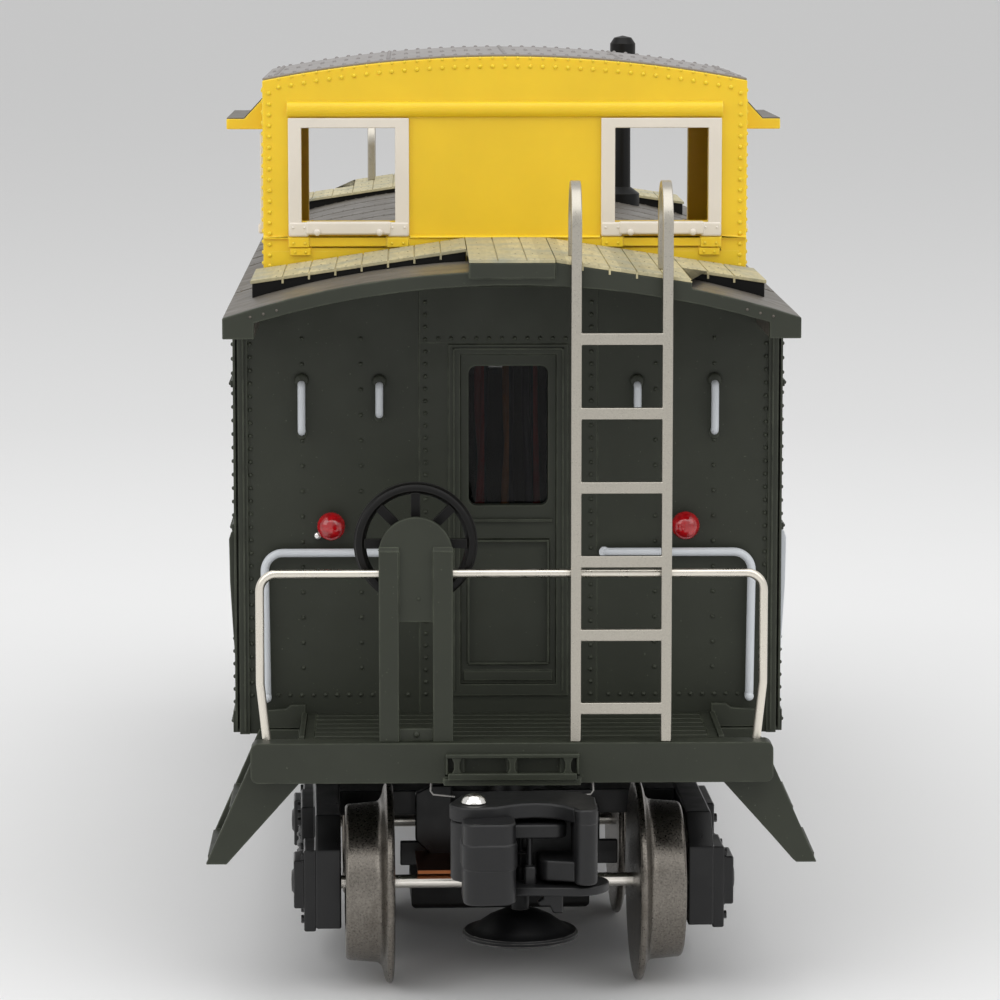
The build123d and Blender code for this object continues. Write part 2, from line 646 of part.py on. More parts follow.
grab_places = ((24.5, 64.8, 71.3), (15.3, 67.0, 71.3))
grab_wires = [at_end(upright_grab(side * x, z_low, z_high), turn)
              for x, z_low, z_high in grab_places for side in (-1, 1) for turn in ENDS.values()]
with BuildPart() as end_grab_irons:
    add(grab_wires)
save(end_grab_irons.part, "end_grab_irons")

side_wire_x = shell_half_width + 0.8
side_grab_wires = [wire([(side * shell_half_width, y, 39.0), (side * side_wire_x, y, 39.0),
                         (side * side_wire_x, y, 51.4), (side * shell_half_width, y, 51.4)],
                        0.7, wall_wire) for side in (-1, 1) for y in (-79.6, 79.6)]
with BuildPart() as side_grab_irons:
    add(side_grab_wires)
save(side_grab_irons.part, "side_grab_irons")

# ---- marker lamps, doors, windows ---------------------------------------------------
lamp_x = 21.05
lamp_z = 54.05
lamp_radius = 1.7
with BuildPart() as marker_lamps:
    for face_y, out in ((wall_y, -1), (-wall_y, 1)):
        for side in (-1, 1):
            rod((side * lamp_x, face_y + out * 0.35, lamp_z), "Y", 1.45, 0.7)
            with Locations((side * lamp_x, face_y + out * 1.4, lamp_z)):
                Sphere(lamp_radius)
    block(-40, 40, wall_y, -wall_y, 40, 60, Mode.SUBTRACT)
save(marker_lamps.part, "marker_lamps")

door_glass = (4.7, 56.35, 73.0)                 # half width, z low, z high
door_outer = -body_half_length - 0.1
with BuildPart() as door:
    block(-door_half_width, door_half_width, door_outer, -inner_half_length, door_bottom, door_top)
    with BuildSketch(Plane(origin=(0, -80, 0), x_dir=(1, 0, 0), z_dir=(0, -1, 0))):
        with Locations((0, (door_glass[1] + door_glass[2]) / 2)):
            RectangleRounded(2 * door_glass[0], door_glass[2] - door_glass[1], 0.9)
    extrude(amount=4, mode=Mode.SUBTRACT)
    # recessed lower panel
    block(-4.9, 4.9, door_outer - 1, door_outer + 0.2, 37.1, 52.3, Mode.SUBTRACT)
    # rounded sill
    block(-5.3, 5.3, door_outer - 0.35, door_outer, 35.2, 36.4)
door_pair = [at_end(door.part, turn) for turn in ENDS.values()]
with BuildPart() as end_doors:
    add(door_pair)
save(end_doors.part, "end_doors")

glass = 0.8
with BuildPart() as window_glazing:
    for side in (-1, 1):
        y_pair = sorted((side * (inner_half_length - glass), side * inner_half_length))
        block(-5.4, 5.4, y_pair[0], y_pair[1], 55.4, 74.0)
        x_pair = sorted((side * (inner_half_width - glass), side * inner_half_width))
        for y in side_window_centres:
            block(x_pair[0], x_pair[1], y - 6.6, y + 6.6, 54.4, 69.6)
save(window_glazing.part, "window_glazing")

with BuildPart() as side_window_frames:
    for side in (-1, 1):
        x_pair = sorted((side * shell_half_width, side * (shell_half_width + 0.5)))
        for y in side_window_centres:
            block(x_pair[0], x_pair[1], y - 6.4, y + 6.4, 54.6, 69.4)
            block(x_pair[0] - 1, x_pair[1] + 1, y - side_window_width / 2, y + side_window_width / 2,
                  side_window_bottom, side_window_top, Mode.SUBTRACT)
save(side_window_frames.part, "side_window_frames")

# ---- interior lighting --------------------------------------------------------------
with BuildPart() as light_board:
    block(-7, 7, -20, 46, 79.2, 80.2)
    for y in (-14, 40):
        rod((0, y, 82.0), "Z", 1.6, 3.6)
    rod((0, 0, 78.5), "Z", 1.6, 1.4)
    rod((0, 30, 78.5), "Z", 1.6, 1.4)
    block(3, 6, 8, 14, 78.0, 79.2)
save(light_board.part, "light_board")

wire_feet = ((-3.6, -73.0, -2.6), (-2.4, -71.5, -3.4), (-0.6, -74.0, 0.4),
             (0.8, -72.5, 0.0), (2.9, -73.5, 2.3), (3.8, -71.8, 3.4))
wire_runs = [wire([(x, y, floor_top), (x, y, 52.0), (x_top, y + 1.5, 66.0), (x_top, y + 4, 78.2),
                   (x_top, -28.0, 78.2), (x_top, -25.0, 79.7), (x_top, -20.0, 79.7)], 1.2, 0.45)
             for x, y, x_top in wire_feet]
with BuildPart() as interior_wires:
    add(wire_runs)
save(interior_wires.part, "interior_wires")

# ---- trucks -------------------------------------------------------------------------
# Each truck is drawn about its own centre, coupler towards -Y, and then set on its kingpin.
truck_places = {"front": Location((0, -truck_offset, 0), (0, 0, truck_yaw)),
                "rear": Location((0, truck_offset, 0), (0, 0, 180 + truck_yaw))}
frame_inner = 20.5
frame_outer_x = 23.5
bolster_bottom = 17.2
coupler_pivot_y = -33.0
tongue_top = 18.5
stud_radius = 1.2

with BuildPart() as truck_bolster:
    block(-frame_inner, frame_inner, -4.0, 4.0, bolster_bottom, 20.2)
    rod((0, 0, 22.0), "Z", 5.0, 2 * (sill_depth_z - bolster_gap - 22.0))
    # transoms either side of the bolster, with a slot for the axle wiper
    block(-11.0, 11.0, -8.0, 8.0, bolster_bottom, 18.4)
    for y_low, y_high in ((-8.0, -7.0), (7.0, 8.0)):
        block(-11.0, 11.0, y_low, y_high, 11.8, 18.4)
        block(-13.2, 13.2, y_low, y_high, 11.8, 15.6)
    block(-12.0, -4.0, -9.0, -6.0, 11.0, 14.4, Mode.SUBTRACT)
    # kingpin bore
    rod((0, 0, 21.0), "Z", kingpin_radius + running, 10, Mode.SUBTRACT)
    # tongue that carries the coupler
    block(-3.2, 3.2, coupler_pivot_y - 2.6, -3.5, 16.6, tongue_top)
    rod((0, coupler_pivot_y, 19.8), "Z", stud_radius, 2.8)
    rod((0, 0, 16.0), "Z", 3.8, 2.4, Mode.SUBTRACT)

side_frame_points = ((-22.3, 7.4), (-22.3, 16.8), (-18.8, 20.4), (18.8, 20.4), (22.3, 16.8),
                     (22.3, 7.4), (12.6, 7.4), (7.8, 4.6), (-7.8, 4.6), (-12.6, 7.4))
frame_hole_points = ((6.2, 8.0), (9.8, 9.8), (12.4, 13.2), (12.4, 16.8), (6.2, 16.8))
frame_blanks = [along(*sorted((side * frame_inner, side * frame_outer_x)), side_frame_points)
                for side in (-1, 1)]
frame_holes = [along(*sorted((side * (frame_inner - 1), side * (frame_outer_x + 1))),
                     [(flip * y, z) for y, z in frame_hole_points])
               for side in (-1, 1) for flip in (-1, 1)]
with BuildPart() as truck_sideframes:
    for blank in frame_blanks:
        slab(blank)
    for hole in frame_holes:
        slab(hole, Mode.SUBTRACT)
    for side in (-1, 1):
        for y in (-half_wheelbase, half_wheelbase):
            # journal box and its cap
            x_pair = sorted((side * frame_outer_x, side * 24.9))
            block(x_pair[0], x_pair[1], y - 3.6, y + 3.6, 6.8, 16.6)
            x_pair = sorted((side * 24.9, side * 26.1))
            block(x_pair[0], x_pair[1], y - 2.7, y + 2.7, 9.4, 15.2)
            # axle bearing, blind from inside
            rod((side * (frame_inner + 1.0), y, axle_height), "X", axle_radius + running, 2.1,
                Mode.SUBTRACT)
        # springs cast in the middle of the frame
        for y in (-3.0, 3.0):
            rod((side * (frame_outer_x + 0.3), y, 11.0), "Z", 1.7, 7.0)
        x_pair = sorted((side * frame_outer_x, side * 25.2))
        block(x_pair[0], x_pair[1], -5.6, 5.6, 14.4, 18.6)
        block(x_pair[0], x_pair[1], -5.6, 5.6, 5.6, 7.6)

wheel_face = wheel_back + wheel_width
wheel_profile = ((wheel_back, axle_radius), (wheel_back, 11.2), (wheel_back + 0.3, 11.85),
                 (wheel_back + 0.6, flange_radius), (wheel_back + 0.9, 11.85),
                 (wheel_back + 1.25, 11.0), (wheel_back + 1.5, 9.9), (wheel_back + 1.9, tread_radius),
                 (wheel_face - 0.4, 9.25), (wheel_face, 8.9), (wheel_face, 7.6),
                 (wheel_face - 1.4, 7.2), (wheel_face - 1.4, 2.8), (wheel_face - 0.4, 2.2),
                 (wheel_face - 0.4, axle_radius))


def wheel_pair(y):
    """Two flanged wheels facing each other on one axle line."""
    with BuildPart() as pair:
        with BuildSketch(Plane(origin=(0, y, axle_height), x_dir=(1, 0, 0), z_dir=(0, -1, 0))):
            with BuildLine():
                Polyline(*wheel_profile, close=True)
            make_face()
        revolve(axis=Axis((0, y, axle_height), (1, 0, 0)))
        mirror(about=Plane.YZ)
    return pair.part


def axle(y):
    """One axle, pointed at the ends where it runs in the side frames."""
    with BuildPart() as shaft:
        with BuildSketch(Plane(origin=(0, y, axle_height), x_dir=(1, 0, 0), z_dir=(0, -1, 0))):
            with BuildLine():
                Polyline((-22.3, 0), (-21.9, axle_radius), (21.9, axle_radius), (22.3, 0), close=True)
            make_face()
        revolve(axis=Axis((0, y, axle_height), (1, 0, 0)))
    return shaft.part



def plate_between(x_low, bottom, top):
    """A plate hung under the bolster on two posts."""
    with BuildPart() as hung:
        block(x_low, 10.0, -5.0, 5.0, bottom, top)
        for x in (-8.4, 8.4):
            rod((x, 0, (top + bolster_bottom) / 2), "Z", 1.3, bolster_bottom - top)
        fillet(hung.faces().sort_by(Axis.Z)[0].edges(), 0.8)
    return hung.part


def wiper_on(top):
    """A springy leaf on the plate that stays just clear of the turning axle."""
    with BuildPart() as leaf:
        block(-11.4, -4.8, -19.0, -5.0, 13.2, 13.6)
        block(-5.6, -4.8, -5.4, -5.0, top, 13.6)
        block(-5.6, -4.8, -5.4, -1.6, top, top + 0.3)
    return leaf.part


front_plate_top = 9.2
rear_plate_top = 11.4
front_plate = plate_between(-11.8, 5.6, front_plate_top)
rear_plate = plate_between(-10.0, 8.3, rear_plate_top)

# the rear truck's plate also carries the sprung centre rail pickup
pickup_pivot = (-3.5, 6.9)                      # y, z
roller_centre = (3.0, 4.5)
roller_radius = 2.2
pickup_shaft = 0.6
arm_x = 6.2
with BuildPart() as pickup_plate:
    add(rear_plate)
    for side in (-1, 1):
        x_pair = sorted((side * 7.5, side * 8.5))
        block(x_pair[0], x_pair[1], pickup_pivot[0] - 1.2, pickup_pivot[0] + 1.2, 5.6, 8.3)
    rod((0, *pickup_pivot), "X", pickup_shaft + running, 30, Mode.SUBTRACT)
arm_outline = ((-4.5, 7.7), (-4.5, 6.0), (2.0, 3.5), (4.0, 3.5), (4.0, 5.4))
arm_cheeks = [along(*sorted((side * arm_x, side * (arm_x + 0.8))), arm_outline) for side in (-1, 1)]
with BuildPart() as pickup_arm:
    for arm_cheek in arm_cheeks:
        slab(arm_cheek)
    rod((0, *pickup_pivot), "X", pickup_shaft, 17.6)
    rod((0, *roller_centre), "X", pickup_shaft, 2 * arm_x + 1)
with BuildPart() as pickup_roller:
    rod((0, *roller_centre), "X", roller_radius, 2 * arm_x - 0.6)
    rod((0, *roller_centre), "X", pickup_shaft + running, 30, Mode.SUBTRACT)
    fillet(pickup_roller.edges().filter_by(GeomType.CIRCLE).group_by(SortBy.RADIUS)[-1], 0.3)

# coupler head: jaw casting, knuckle, knuckle pin, uncoupling armature
pin_x = -5.9
pin_y = -47.0
pin_radius = 0.8
pin_head_radius = 1.45
shelf_bottom = 17.2
shelf_top = 18.6
lid_bottom = 26.0
lid_top = 28.0
armature_x = -0.6
armature_y = -45.2
armature_radius = 1.0


def jaw_plate(z_low, z_high):
    """A plate of the jaw, rounded about the knuckle pin."""
    with BuildPart() as plate:
        with BuildSketch(Plane.XY.offset(z_low)):
            with Locations((1.0, -46.0)):
                Rectangle(13.6, 8.0)
            with Locations((-5.2, -46.0)):
                Rectangle(6.0, 10.0, mode=Mode.SUBTRACT)
            with Locations((-4.0, -45.0)):
                Rectangle(4.4, 5.2)
            with Locations((pin_x, pin_y)):
                Circle(3.0)
        extrude(amount=z_high - z_low)
    return plate.part


jaw_plates = [jaw_plate(shelf_bottom, shelf_top), jaw_plate(lid_bottom, lid_top)]
with BuildPart() as coupler_body:
    add(jaw_plates)
    block(-6.4, 7.8, -43.2, -40.2, shelf_bottom, lid_top)
    # guard arm
    block(5.3, 7.8, -51.6, -42.0, shelf_bottom, lid_top)
    # shank and its eye over the tongue's stud
    block(-2.6, 2.6, -41.0, coupler_pivot_y, 18.8, 21.2)
    rod((0, coupler_pivot_y, 20.0), "Z", 2.6, 2.4)
    rod((0, coupler_pivot_y, 20.0), "Z", stud_radius + running, 6, Mode.SUBTRACT)
    rod((pin_x, pin_y, 22), "Z", pin_radius, 20, Mode.SUBTRACT)
    rod((armature_x, armature_y, 18), "Z", armature_radius + running, 4, Mode.SUBTRACT)
with BuildPart() as coupler_knuckle:
    rod((pin_x, pin_y, 22.3), "Z", 2.6, 6.8)
    block(-8.1, -3.9, -51.2, pin_y, 18.9, 25.7)
    # face of the knuckle and its inner hook
    with BuildSketch(Plane.XY.offset(17.0)):
        with Locations((-4.75, -51.8)):
            RectangleRounded(6.7, 2.6, 1.0)
    extrude(amount=10.5)
    block(-3.6, -1.6, -51.4, -49.3, 18.9, 25.7)
    rod((pin_x, pin_y, 22), "Z", pin_radius + running, 20, Mode.SUBTRACT)
with BuildPart() as coupler_pin:
    with Locations((pin_x, pin_y, lid_top)):
        Sphere(pin_head_radius)
    # the dome's flat foot rests on the lid
    block(-8, -3, -50, -44, lid_top - 3, lid_top, Mode.SUBTRACT)
    rod((pin_x, pin_y, 22.4), "Z", pin_radius, 11.2)
with BuildPart() as coupler_armature:
    with BuildSketch(Plane(origin=(armature_x, armature_y, 0), x_dir=(1, 0, 0), z_dir=(0, -1, 0))):
        with BuildLine():
            Polyline((0, 13.2), (5.4, 12.9), (6.1, 12.9), (6.25, 13.3), (6.1, 13.9), (5.2, 14.0),
                     (1.6, 16.2), (armature_radius, 16.4), (armature_radius, 20.0),
                     (1.35, 20.0), (1.35, 21.8), (0.35, 21.8), (0.35, 24.6), (0, 24.6), close=True)
        make_face()
    revolve(axis=Axis((armature_x, armature_y, 0), (0, 0, 1)))

truck_pieces = {
    "bolster": truck_bolster.part, "sideframes": truck_sideframes.part,
    "wheels_outer": wheel_pair(-half_wheelbase), "axle_outer": axle(-half_wheelbase),
    "wheels_inner": wheel_pair(half_wheelbase), "axle_inner": axle(half_wheelbase),
    "contact_plate": front_plate, "axle_wiper": wiper_on(front_plate_top),
    "coupler_body": coupler_body.part, "coupler_knuckle": coupler_knuckle.part,
    "coupler_pin": coupler_pin.part, "coupler_armature": coupler_armature.part}
rear_only = {"contact_plate": pickup_plate.part, "axle_wiper": wiper_on(rear_plate_top),
             "pickup_arm": pickup_arm.part, "pickup_roller": pickup_roller.part}
pieces_of_truck = {"front": truck_pieces, "rear": truck_pieces | rear_only}
for end, place in truck_places.items():
    for piece, shape in pieces_of_truck[end].items():
        save(shape.moved(place), f"{end}_truck_{piece}")
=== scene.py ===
"""Looks of the O scale caboose: finishes, rivets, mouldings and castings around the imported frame.

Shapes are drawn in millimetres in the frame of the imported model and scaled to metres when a
piece is made.  What stands at both ends is drawn for the front and turned half round.
"""
import json
from math import atan2, cos, pi, radians, sin, sqrt

import bmesh
import bpy
from mathutils import Matrix, Vector


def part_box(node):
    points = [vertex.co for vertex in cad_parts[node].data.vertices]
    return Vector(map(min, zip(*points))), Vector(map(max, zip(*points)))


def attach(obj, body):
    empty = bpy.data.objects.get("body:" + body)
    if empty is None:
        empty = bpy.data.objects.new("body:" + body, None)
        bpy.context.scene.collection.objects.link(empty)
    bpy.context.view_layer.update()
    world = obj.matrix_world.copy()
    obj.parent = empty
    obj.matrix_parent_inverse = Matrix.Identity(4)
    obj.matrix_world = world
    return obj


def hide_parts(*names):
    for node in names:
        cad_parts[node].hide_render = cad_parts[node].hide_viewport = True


MM = 0.001
PLANK = 3.1                 # width of a roof walk board
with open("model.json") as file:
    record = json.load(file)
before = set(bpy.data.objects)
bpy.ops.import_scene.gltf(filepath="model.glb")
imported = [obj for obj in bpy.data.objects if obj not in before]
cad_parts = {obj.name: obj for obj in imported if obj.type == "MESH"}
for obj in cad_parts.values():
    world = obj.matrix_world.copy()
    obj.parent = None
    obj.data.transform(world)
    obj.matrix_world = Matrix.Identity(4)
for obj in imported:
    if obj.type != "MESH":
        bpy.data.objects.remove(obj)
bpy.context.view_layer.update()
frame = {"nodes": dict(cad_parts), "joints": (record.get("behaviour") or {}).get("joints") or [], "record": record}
scene = bpy.context.scene


def box_mm(node):
    """Lowest and highest corner of a CAD node, in millimetres."""
    low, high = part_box(node)
    return low / MM, high / MM


# ---- shapes -------------------------------------------------------------------------
class Shape:
    """Vertices and faces in millimetres, gathered until they become one piece."""

    def __init__(self):
        self.vertices = []
        self.faces = []

    def add(self, vertices, faces):
        start = len(self.vertices)
        self.vertices.extend(Vector(v) for v in vertices)
        self.faces.extend([start + i for i in face] for face in faces)
        return self

    def join(self, other, matrix=Matrix.Identity(4)):
        return self.add([matrix @ v for v in other.vertices], other.faces)

    def moved(self, matrix):
        return Shape().join(self, matrix)

    def block(self, x0, x1, y0, y1, z0, z1):
        corners = [(x, y, z) for x in sorted((x0, x1)) for y in sorted((y0, y1))
                   for z in sorted((z0, z1))]
        return self.add(corners, [(0, 1, 3, 2), (4, 6, 7, 5), (0, 4, 5, 1), (2, 3, 7, 6),
                                  (0, 2, 6, 4), (1, 5, 7, 3)])

    def prism(self, outline, low, high, place):
        """An outline of (a, b) points between two levels; place(a, b, level) gives the point."""
        count = len(outline)
        ring = [place(a, b, low) for a, b in outline] + [place(a, b, high) for a, b in outline]
        sides = [(i, (i + 1) % count, count + (i + 1) % count, count + i) for i in range(count)]
        return self.add(ring, sides + [tuple(range(count))[::-1], tuple(range(count, 2 * count))])

    def turned(self, profile, centre, axis, steps=48):
        """A closed solid turned about an axis; profile points are (radius, height along it)."""
        turn = Vector((0, 0, 1)).rotation_difference(Vector(axis)).to_matrix()
        centre = Vector(centre)
        vertices, rows = [], []
        for radius, height in profile:
            if radius < 1e-6:
                rows.append([len(vertices)] * steps)
                vertices.append(centre + turn @ Vector((0, 0, height)))
                continue
            rows.append(list(range(len(vertices), len(vertices) + steps)))
            for n in range(steps):
                angle = 2 * pi * n / steps
                spot = Vector((radius * cos(angle), radius * sin(angle), height))
                vertices.append(centre + turn @ spot)
        faces = []
        closed = profile[0][0] > 1e-6
        pairs = list(zip(rows, rows[1:] + rows[:1])) if closed else list(zip(rows, rows[1:]))
        for low, high in pairs:
            for n in range(steps):
                quad = (low[n], low[(n + 1) % steps], high[(n + 1) % steps], high[n])
                face = tuple(dict.fromkeys(quad))
                if len(face) > 2:
                    faces.append(face)
        return self.add(vertices, faces)

    def tube(self, path, radius, sides=12):
        """A round bar along a line of points, with flat ends."""
        path = [Vector(p) for p in path]
        count = len(path)
        side = None
        rings = []
        for i, point in enumerate(path):
            along = path[min(i + 1, count - 1)] - path[max(i - 1, 0)]
            along.normalize()
            if side is None:
                side = along.orthogonal().normalized()
            side = (side - along * side.dot(along)).normalized()
            up = along.cross(side)
            for n in range(sides):
                angle = 2 * pi * n / sides
                rings.append(point + (side * cos(angle) + up * sin(angle)) * radius)
        faces = []
        for i in range(count - 1):
            a, b = i * sides, (i + 1) * sides
            faces.extend((a + n, a + (n + 1) % sides, b + (n + 1) % sides, b + n)
                         for n in range(sides))
        faces.append(tuple(range(sides))[::-1])
        faces.append(tuple(range((count - 1) * sides, count * sides)))
        return self.add(rings, faces)

    def dome(self, spot, outward, radius, height, steps=10):
        """A rivet head standing on a surface, its foot just under it."""
        profile = [(0, height), (radius * 0.55, height * 0.82), (radius * 0.88, height * 0.42),
                   (radius, -0.05), (0, -0.05)]
        return self.turned(profile, spot, outward, steps)


def in_xz(x, z, y):
    return x, y, z


def in_yz(y, z, x):
    return x, y, z


def in_xy(x, y, z):
    return x, y, z


HALF_TURN = Matrix.Rotation(pi, 4, "Z")


def both_ends(shape):
    """The front's shape together with the same turned to the rear."""
    return Shape().join(shape).join(shape, HALF_TURN)


def steps_between(first, last, pitch):
    """Places from first to last, evenly spaced near a pitch."""
    count = max(1, round(abs(last - first) / pitch))
    return [first + (last - first) * n / count for n in range(count + 1)]


# ---- node materials -----------------------------------------------------------------
def linear(red, green, blue):
    """A colour given as 8-bit sRGB, in linear light."""
    return tuple((c / 255 / 12.92) if c / 255 <= 0.04045 else ((c / 255 + 0.055) / 1.055) ** 2.4
                 for c in (red, green, blue)) + (1.0,)


def scaled(colour, factor):
    return tuple(min(1.0, c * factor) for c in colour[:3]) + (1.0,)


class Finish:
    """A node material being wired: short ways to add the nodes that every finish uses."""

    def __init__(self, name):
        self.material = bpy.data.materials.new(name)
        self.material.use_nodes = True
        self.tree = self.material.node_tree
        self.shader = self.tree.nodes["Principled BSDF"]
        self.place = self.node("ShaderNodeTexCoord").outputs["Object"]

    def node(self, kind, **settings):
        made = self.tree.nodes.new(kind)
        for key, value in settings.items():
            setattr(made, key, value)
        return made

    def link(self, source, target):
        self.tree.links.new(source, target)

    def along(self, axis):
        """One coordinate of the place on the model, in metres."""
        split = self.node("ShaderNodeSeparateXYZ")
        self.link(self.place, split.inputs["Vector"])
        return split.outputs[axis]

    def stretched(self, x, y, z):
        mapping = self.node("ShaderNodeMapping")
        mapping.inputs["Scale"].default_value = (x, y, z)
        self.link(self.place, mapping.inputs["Vector"])
        return mapping.outputs["Vector"]

    def noise(self, size_mm, detail=3.0, rough=0.55, vector=None):
        """Noise with features about size_mm across."""
        made = self.node("ShaderNodeTexNoise")
        made.inputs["Scale"].default_value = 1 / (size_mm * MM)
        made.inputs["Detail"].default_value = detail
        made.inputs["Roughness"].default_value = rough
        self.link(vector or self.place, made.inputs["Vector"])
        return made.outputs["Fac"]

    def spread(self, value, low, high, to_low=0.0, to_high=1.0):
        made = self.node("ShaderNodeMapRange")
        made.inputs["From Min"].default_value = low
        made.inputs["From Max"].default_value = high
        made.inputs["To Min"].default_value = to_low
        made.inputs["To Max"].default_value = to_high
        self.link(value, made.inputs["Value"])
        return made.outputs["Result"]

    def mix(self, factor, first, second):
        made = self.node("ShaderNodeMix", data_type="RGBA")
        self.link(factor, made.inputs["Factor"])
        for socket, value in ((made.inputs[6], first), (made.inputs[7], second)):
            if isinstance(value, tuple):
                socket.default_value = value
            else:
                self.link(value, socket)
        return made.outputs[2]

    def edges(self, radius_mm):
        """Near 1 along corners, 0 on flats."""
        rounded = self.node("ShaderNodeBevel", samples=4)
        rounded.inputs["Radius"].default_value = radius_mm * MM
        flat = self.node("ShaderNodeNewGeometry")
        product = self.node("ShaderNodeVectorMath", operation="DOT_PRODUCT")
        self.link(rounded.outputs["Normal"], product.inputs[0])
        self.link(flat.outputs["Normal"], product.inputs[1])
        return self.spread(product.outputs["Value"], 0.99, 0.88)

    def bump(self, height, depth_mm):
        made = self.node("ShaderNodeBump")
        made.inputs["Strength"].default_value = 1.0
        made.inputs["Distance"].default_value = depth_mm * MM
        self.link(height, made.inputs["Height"])
        self.link(made.outputs["Normal"], self.shader.inputs["Normal"])

    def set(self, **values):
        for key, value in values.items():
            self.shader.inputs[key.replace("_", " ")].default_value = value


def plastic(name, colour, roughness, tone=0.10, grain_mm=0.25, grain_depth=0.006, dust=0.0,
            edge=None, edge_radius=0.25, specular=0.5, glow=0.0, pale=None):
    """Moulded or painted plastic: slight tone shifts, fine grain, dust specks, painted highlights along edges, a
    painted sheen above a height.
    """
    made = Finish(name)
    shade = made.mix(made.spread(made.noise(9.0, 4.0), 0.35, 0.65),
                     scaled(colour, 1 - tone), scaled(colour, 1 + tone))
    if edge is not None:
        # painted highlight: a lighter colour along edges, patchy with noise
        edge_glint = made.node("ShaderNodeMath", operation="MULTIPLY")
        made.link(made.edges(edge_radius), edge_glint.inputs[0])
        made.link(made.spread(made.noise(2.0, 3.0), 0.3, 0.62), edge_glint.inputs[1])
        shade = made.mix(edge_glint.outputs[0], shade, edge)
    if dust:
        specks = made.spread(made.noise(0.33, 1.0), 0.80 - dust, 0.84 - dust)
        shade = made.mix(specks, shade, scaled(colour, 2.6))
    if pale:
        # painted sheen: lighter above a height, for the grazing reflection on the cupola roof
        height, sheen = pale
        above = made.spread(made.along("Z"), (height - 0.5) * MM, height * MM)
        shade = made.mix(above, shade, sheen)
    made.link(shade, made.shader.inputs["Base Color"])
    made.link(made.spread(made.noise(3.0, 5.0), 0.3, 0.7, roughness - 0.07, roughness + 0.07),
              made.shader.inputs["Roughness"])
    made.bump(made.noise(grain_mm, 3.0), grain_depth)
    made.set(Specular_IOR_Level=specular)
    if glow:
        # light soaks a little way into pale plastic
        made.set(Subsurface_Weight=glow, Subsurface_Scale=0.8 * MM,
                 Subsurface_Radius=(1.0, 0.75, 0.25))
    return made.material


def metal(name, colour, roughness, speckle=0.12, speckle_mm=0.2, depth=0.006, tarnish=None):
    """Bare metal: finely speckled, with a darker cloudy tarnish."""
    made = Finish(name)
    fine = made.noise(speckle_mm, 4.0, 0.6)
    shade = made.mix(made.spread(fine, 0.3, 0.7), scaled(colour, 1 - speckle),
                     scaled(colour, 1 + speckle))
    if tarnish is not None:
        shade = made.mix(made.spread(made.noise(3.5, 5.0), 0.5, 0.75, 0.0, 0.6), shade, tarnish)
    made.link(shade, made.shader.inputs["Base Color"])
    made.link(made.spread(fine, 0.3, 0.7, roughness - 0.08, roughness + 0.1),
              made.shader.inputs["Roughness"])
    made.bump(fine, depth)
    made.set(Metallic=1.0)
    return made.material


def wood_boards(name):
    """Painted planks: each plank its own tone, grain along the car, greyed in patches."""
    made = Finish(name)
    plank = made.node("ShaderNodeMath", operation="DIVIDE")
    made.link(made.along("X"), plank.inputs[0])
    plank.inputs[1].default_value = PLANK * MM
    whole = made.node("ShaderNodeMath", operation="FLOOR")
    made.link(plank.outputs[0], whole.inputs[0])
    chance = made.node("ShaderNodeTexWhiteNoise", noise_dimensions="1D")
    made.link(whole.outputs[0], chance.inputs["W"])
    tan = made.mix(chance.outputs["Value"], linear(172, 163, 128), linear(206, 194, 152))
    grain = made.noise(0.5, 5.0, 0.6, made.stretched(1.0, 0.12, 1.0))
    shade = made.mix(made.spread(grain, 0.35, 0.75, 0.0, 0.6), tan, linear(150, 143, 112))
    shade = made.mix(made.spread(made.noise(5.0, 4.0), 0.46, 0.66, 0.0, 0.75), shade,
                     linear(148, 149, 132))
    made.link(shade, made.shader.inputs["Base Color"])
    made.link(made.spread(grain, 0.3, 0.7, 0.5, 0.7), made.shader.inputs["Roughness"])
    made.bump(grain, 0.03)
    return made.material


def glass(name):
    """Smoked clear plastic, lightly smeared."""
    made = Finish(name)
    shade = made.mix(made.noise(6.0), linear(150, 151, 150), linear(172, 172, 170))
    made.link(shade, made.shader.inputs["Base Color"])
    made.link(made.spread(made.noise(5.0, 4.0), 0.35, 0.7, 0.02, 0.12),
              made.shader.inputs["Roughness"])
    made.set(Transmission_Weight=1.0, IOR=1.2)
    return made.material


def lens(name, colour):
    """Translucent coloured plastic with a wet gloss."""
    made = Finish(name)
    shade = made.mix(made.spread(made.noise(0.9, 2.0), 0.35, 0.65), scaled(colour, 0.75),
                     scaled(colour, 1.15))
    made.link(shade, made.shader.inputs["Base Color"])
    made.link(made.spread(made.noise(1.2), 0.3, 0.7, 0.12, 0.22), made.shader.inputs["Roughness"])
    made.set(Subsurface_Weight=0.35, Subsurface_Scale=0.8 * MM, Subsurface_Radius=(1.0, 0.15, 0.1),
             Coat_Weight=0.8, Coat_Roughness=0.05)
    return made.material


def wires(name):
    """Insulated wires: red, orange and dark blue by their place across the car."""
    made = Finish(name)
    ramp = made.node("ShaderNodeValToRGB")
    ramp.color_ramp.interpolation = "CONSTANT"
    made.link(made.spread(made.along("X"), -4.5 * MM, 4.5 * MM), ramp.inputs["Fac"])
    stops = ((0.0, (190, 22, 20)), (0.2, (24, 30, 52)), (0.42, (196, 120, 56)),
             (0.53, (20, 24, 44)), (0.74, (24, 30, 52)), (0.86, (190, 26, 24)))
    for place, shade in stops:
        stop = ramp.color_ramp.elements.new(place)
        stop.color = linear(*shade)
    tinted = made.mix(made.spread(made.noise(1.5), 0.3, 0.7, 0.0, 0.3), ramp.outputs["Color"],
                      linear(60, 30, 25))
    made.link(tinted, made.shader.inputs["Base Color"])
    made.link(made.spread(made.noise(0.8), 0.3, 0.7, 0.35, 0.5), made.shader.inputs["Roughness"])
    made.bump(made.noise(0.3), 0.01)
    return made.material


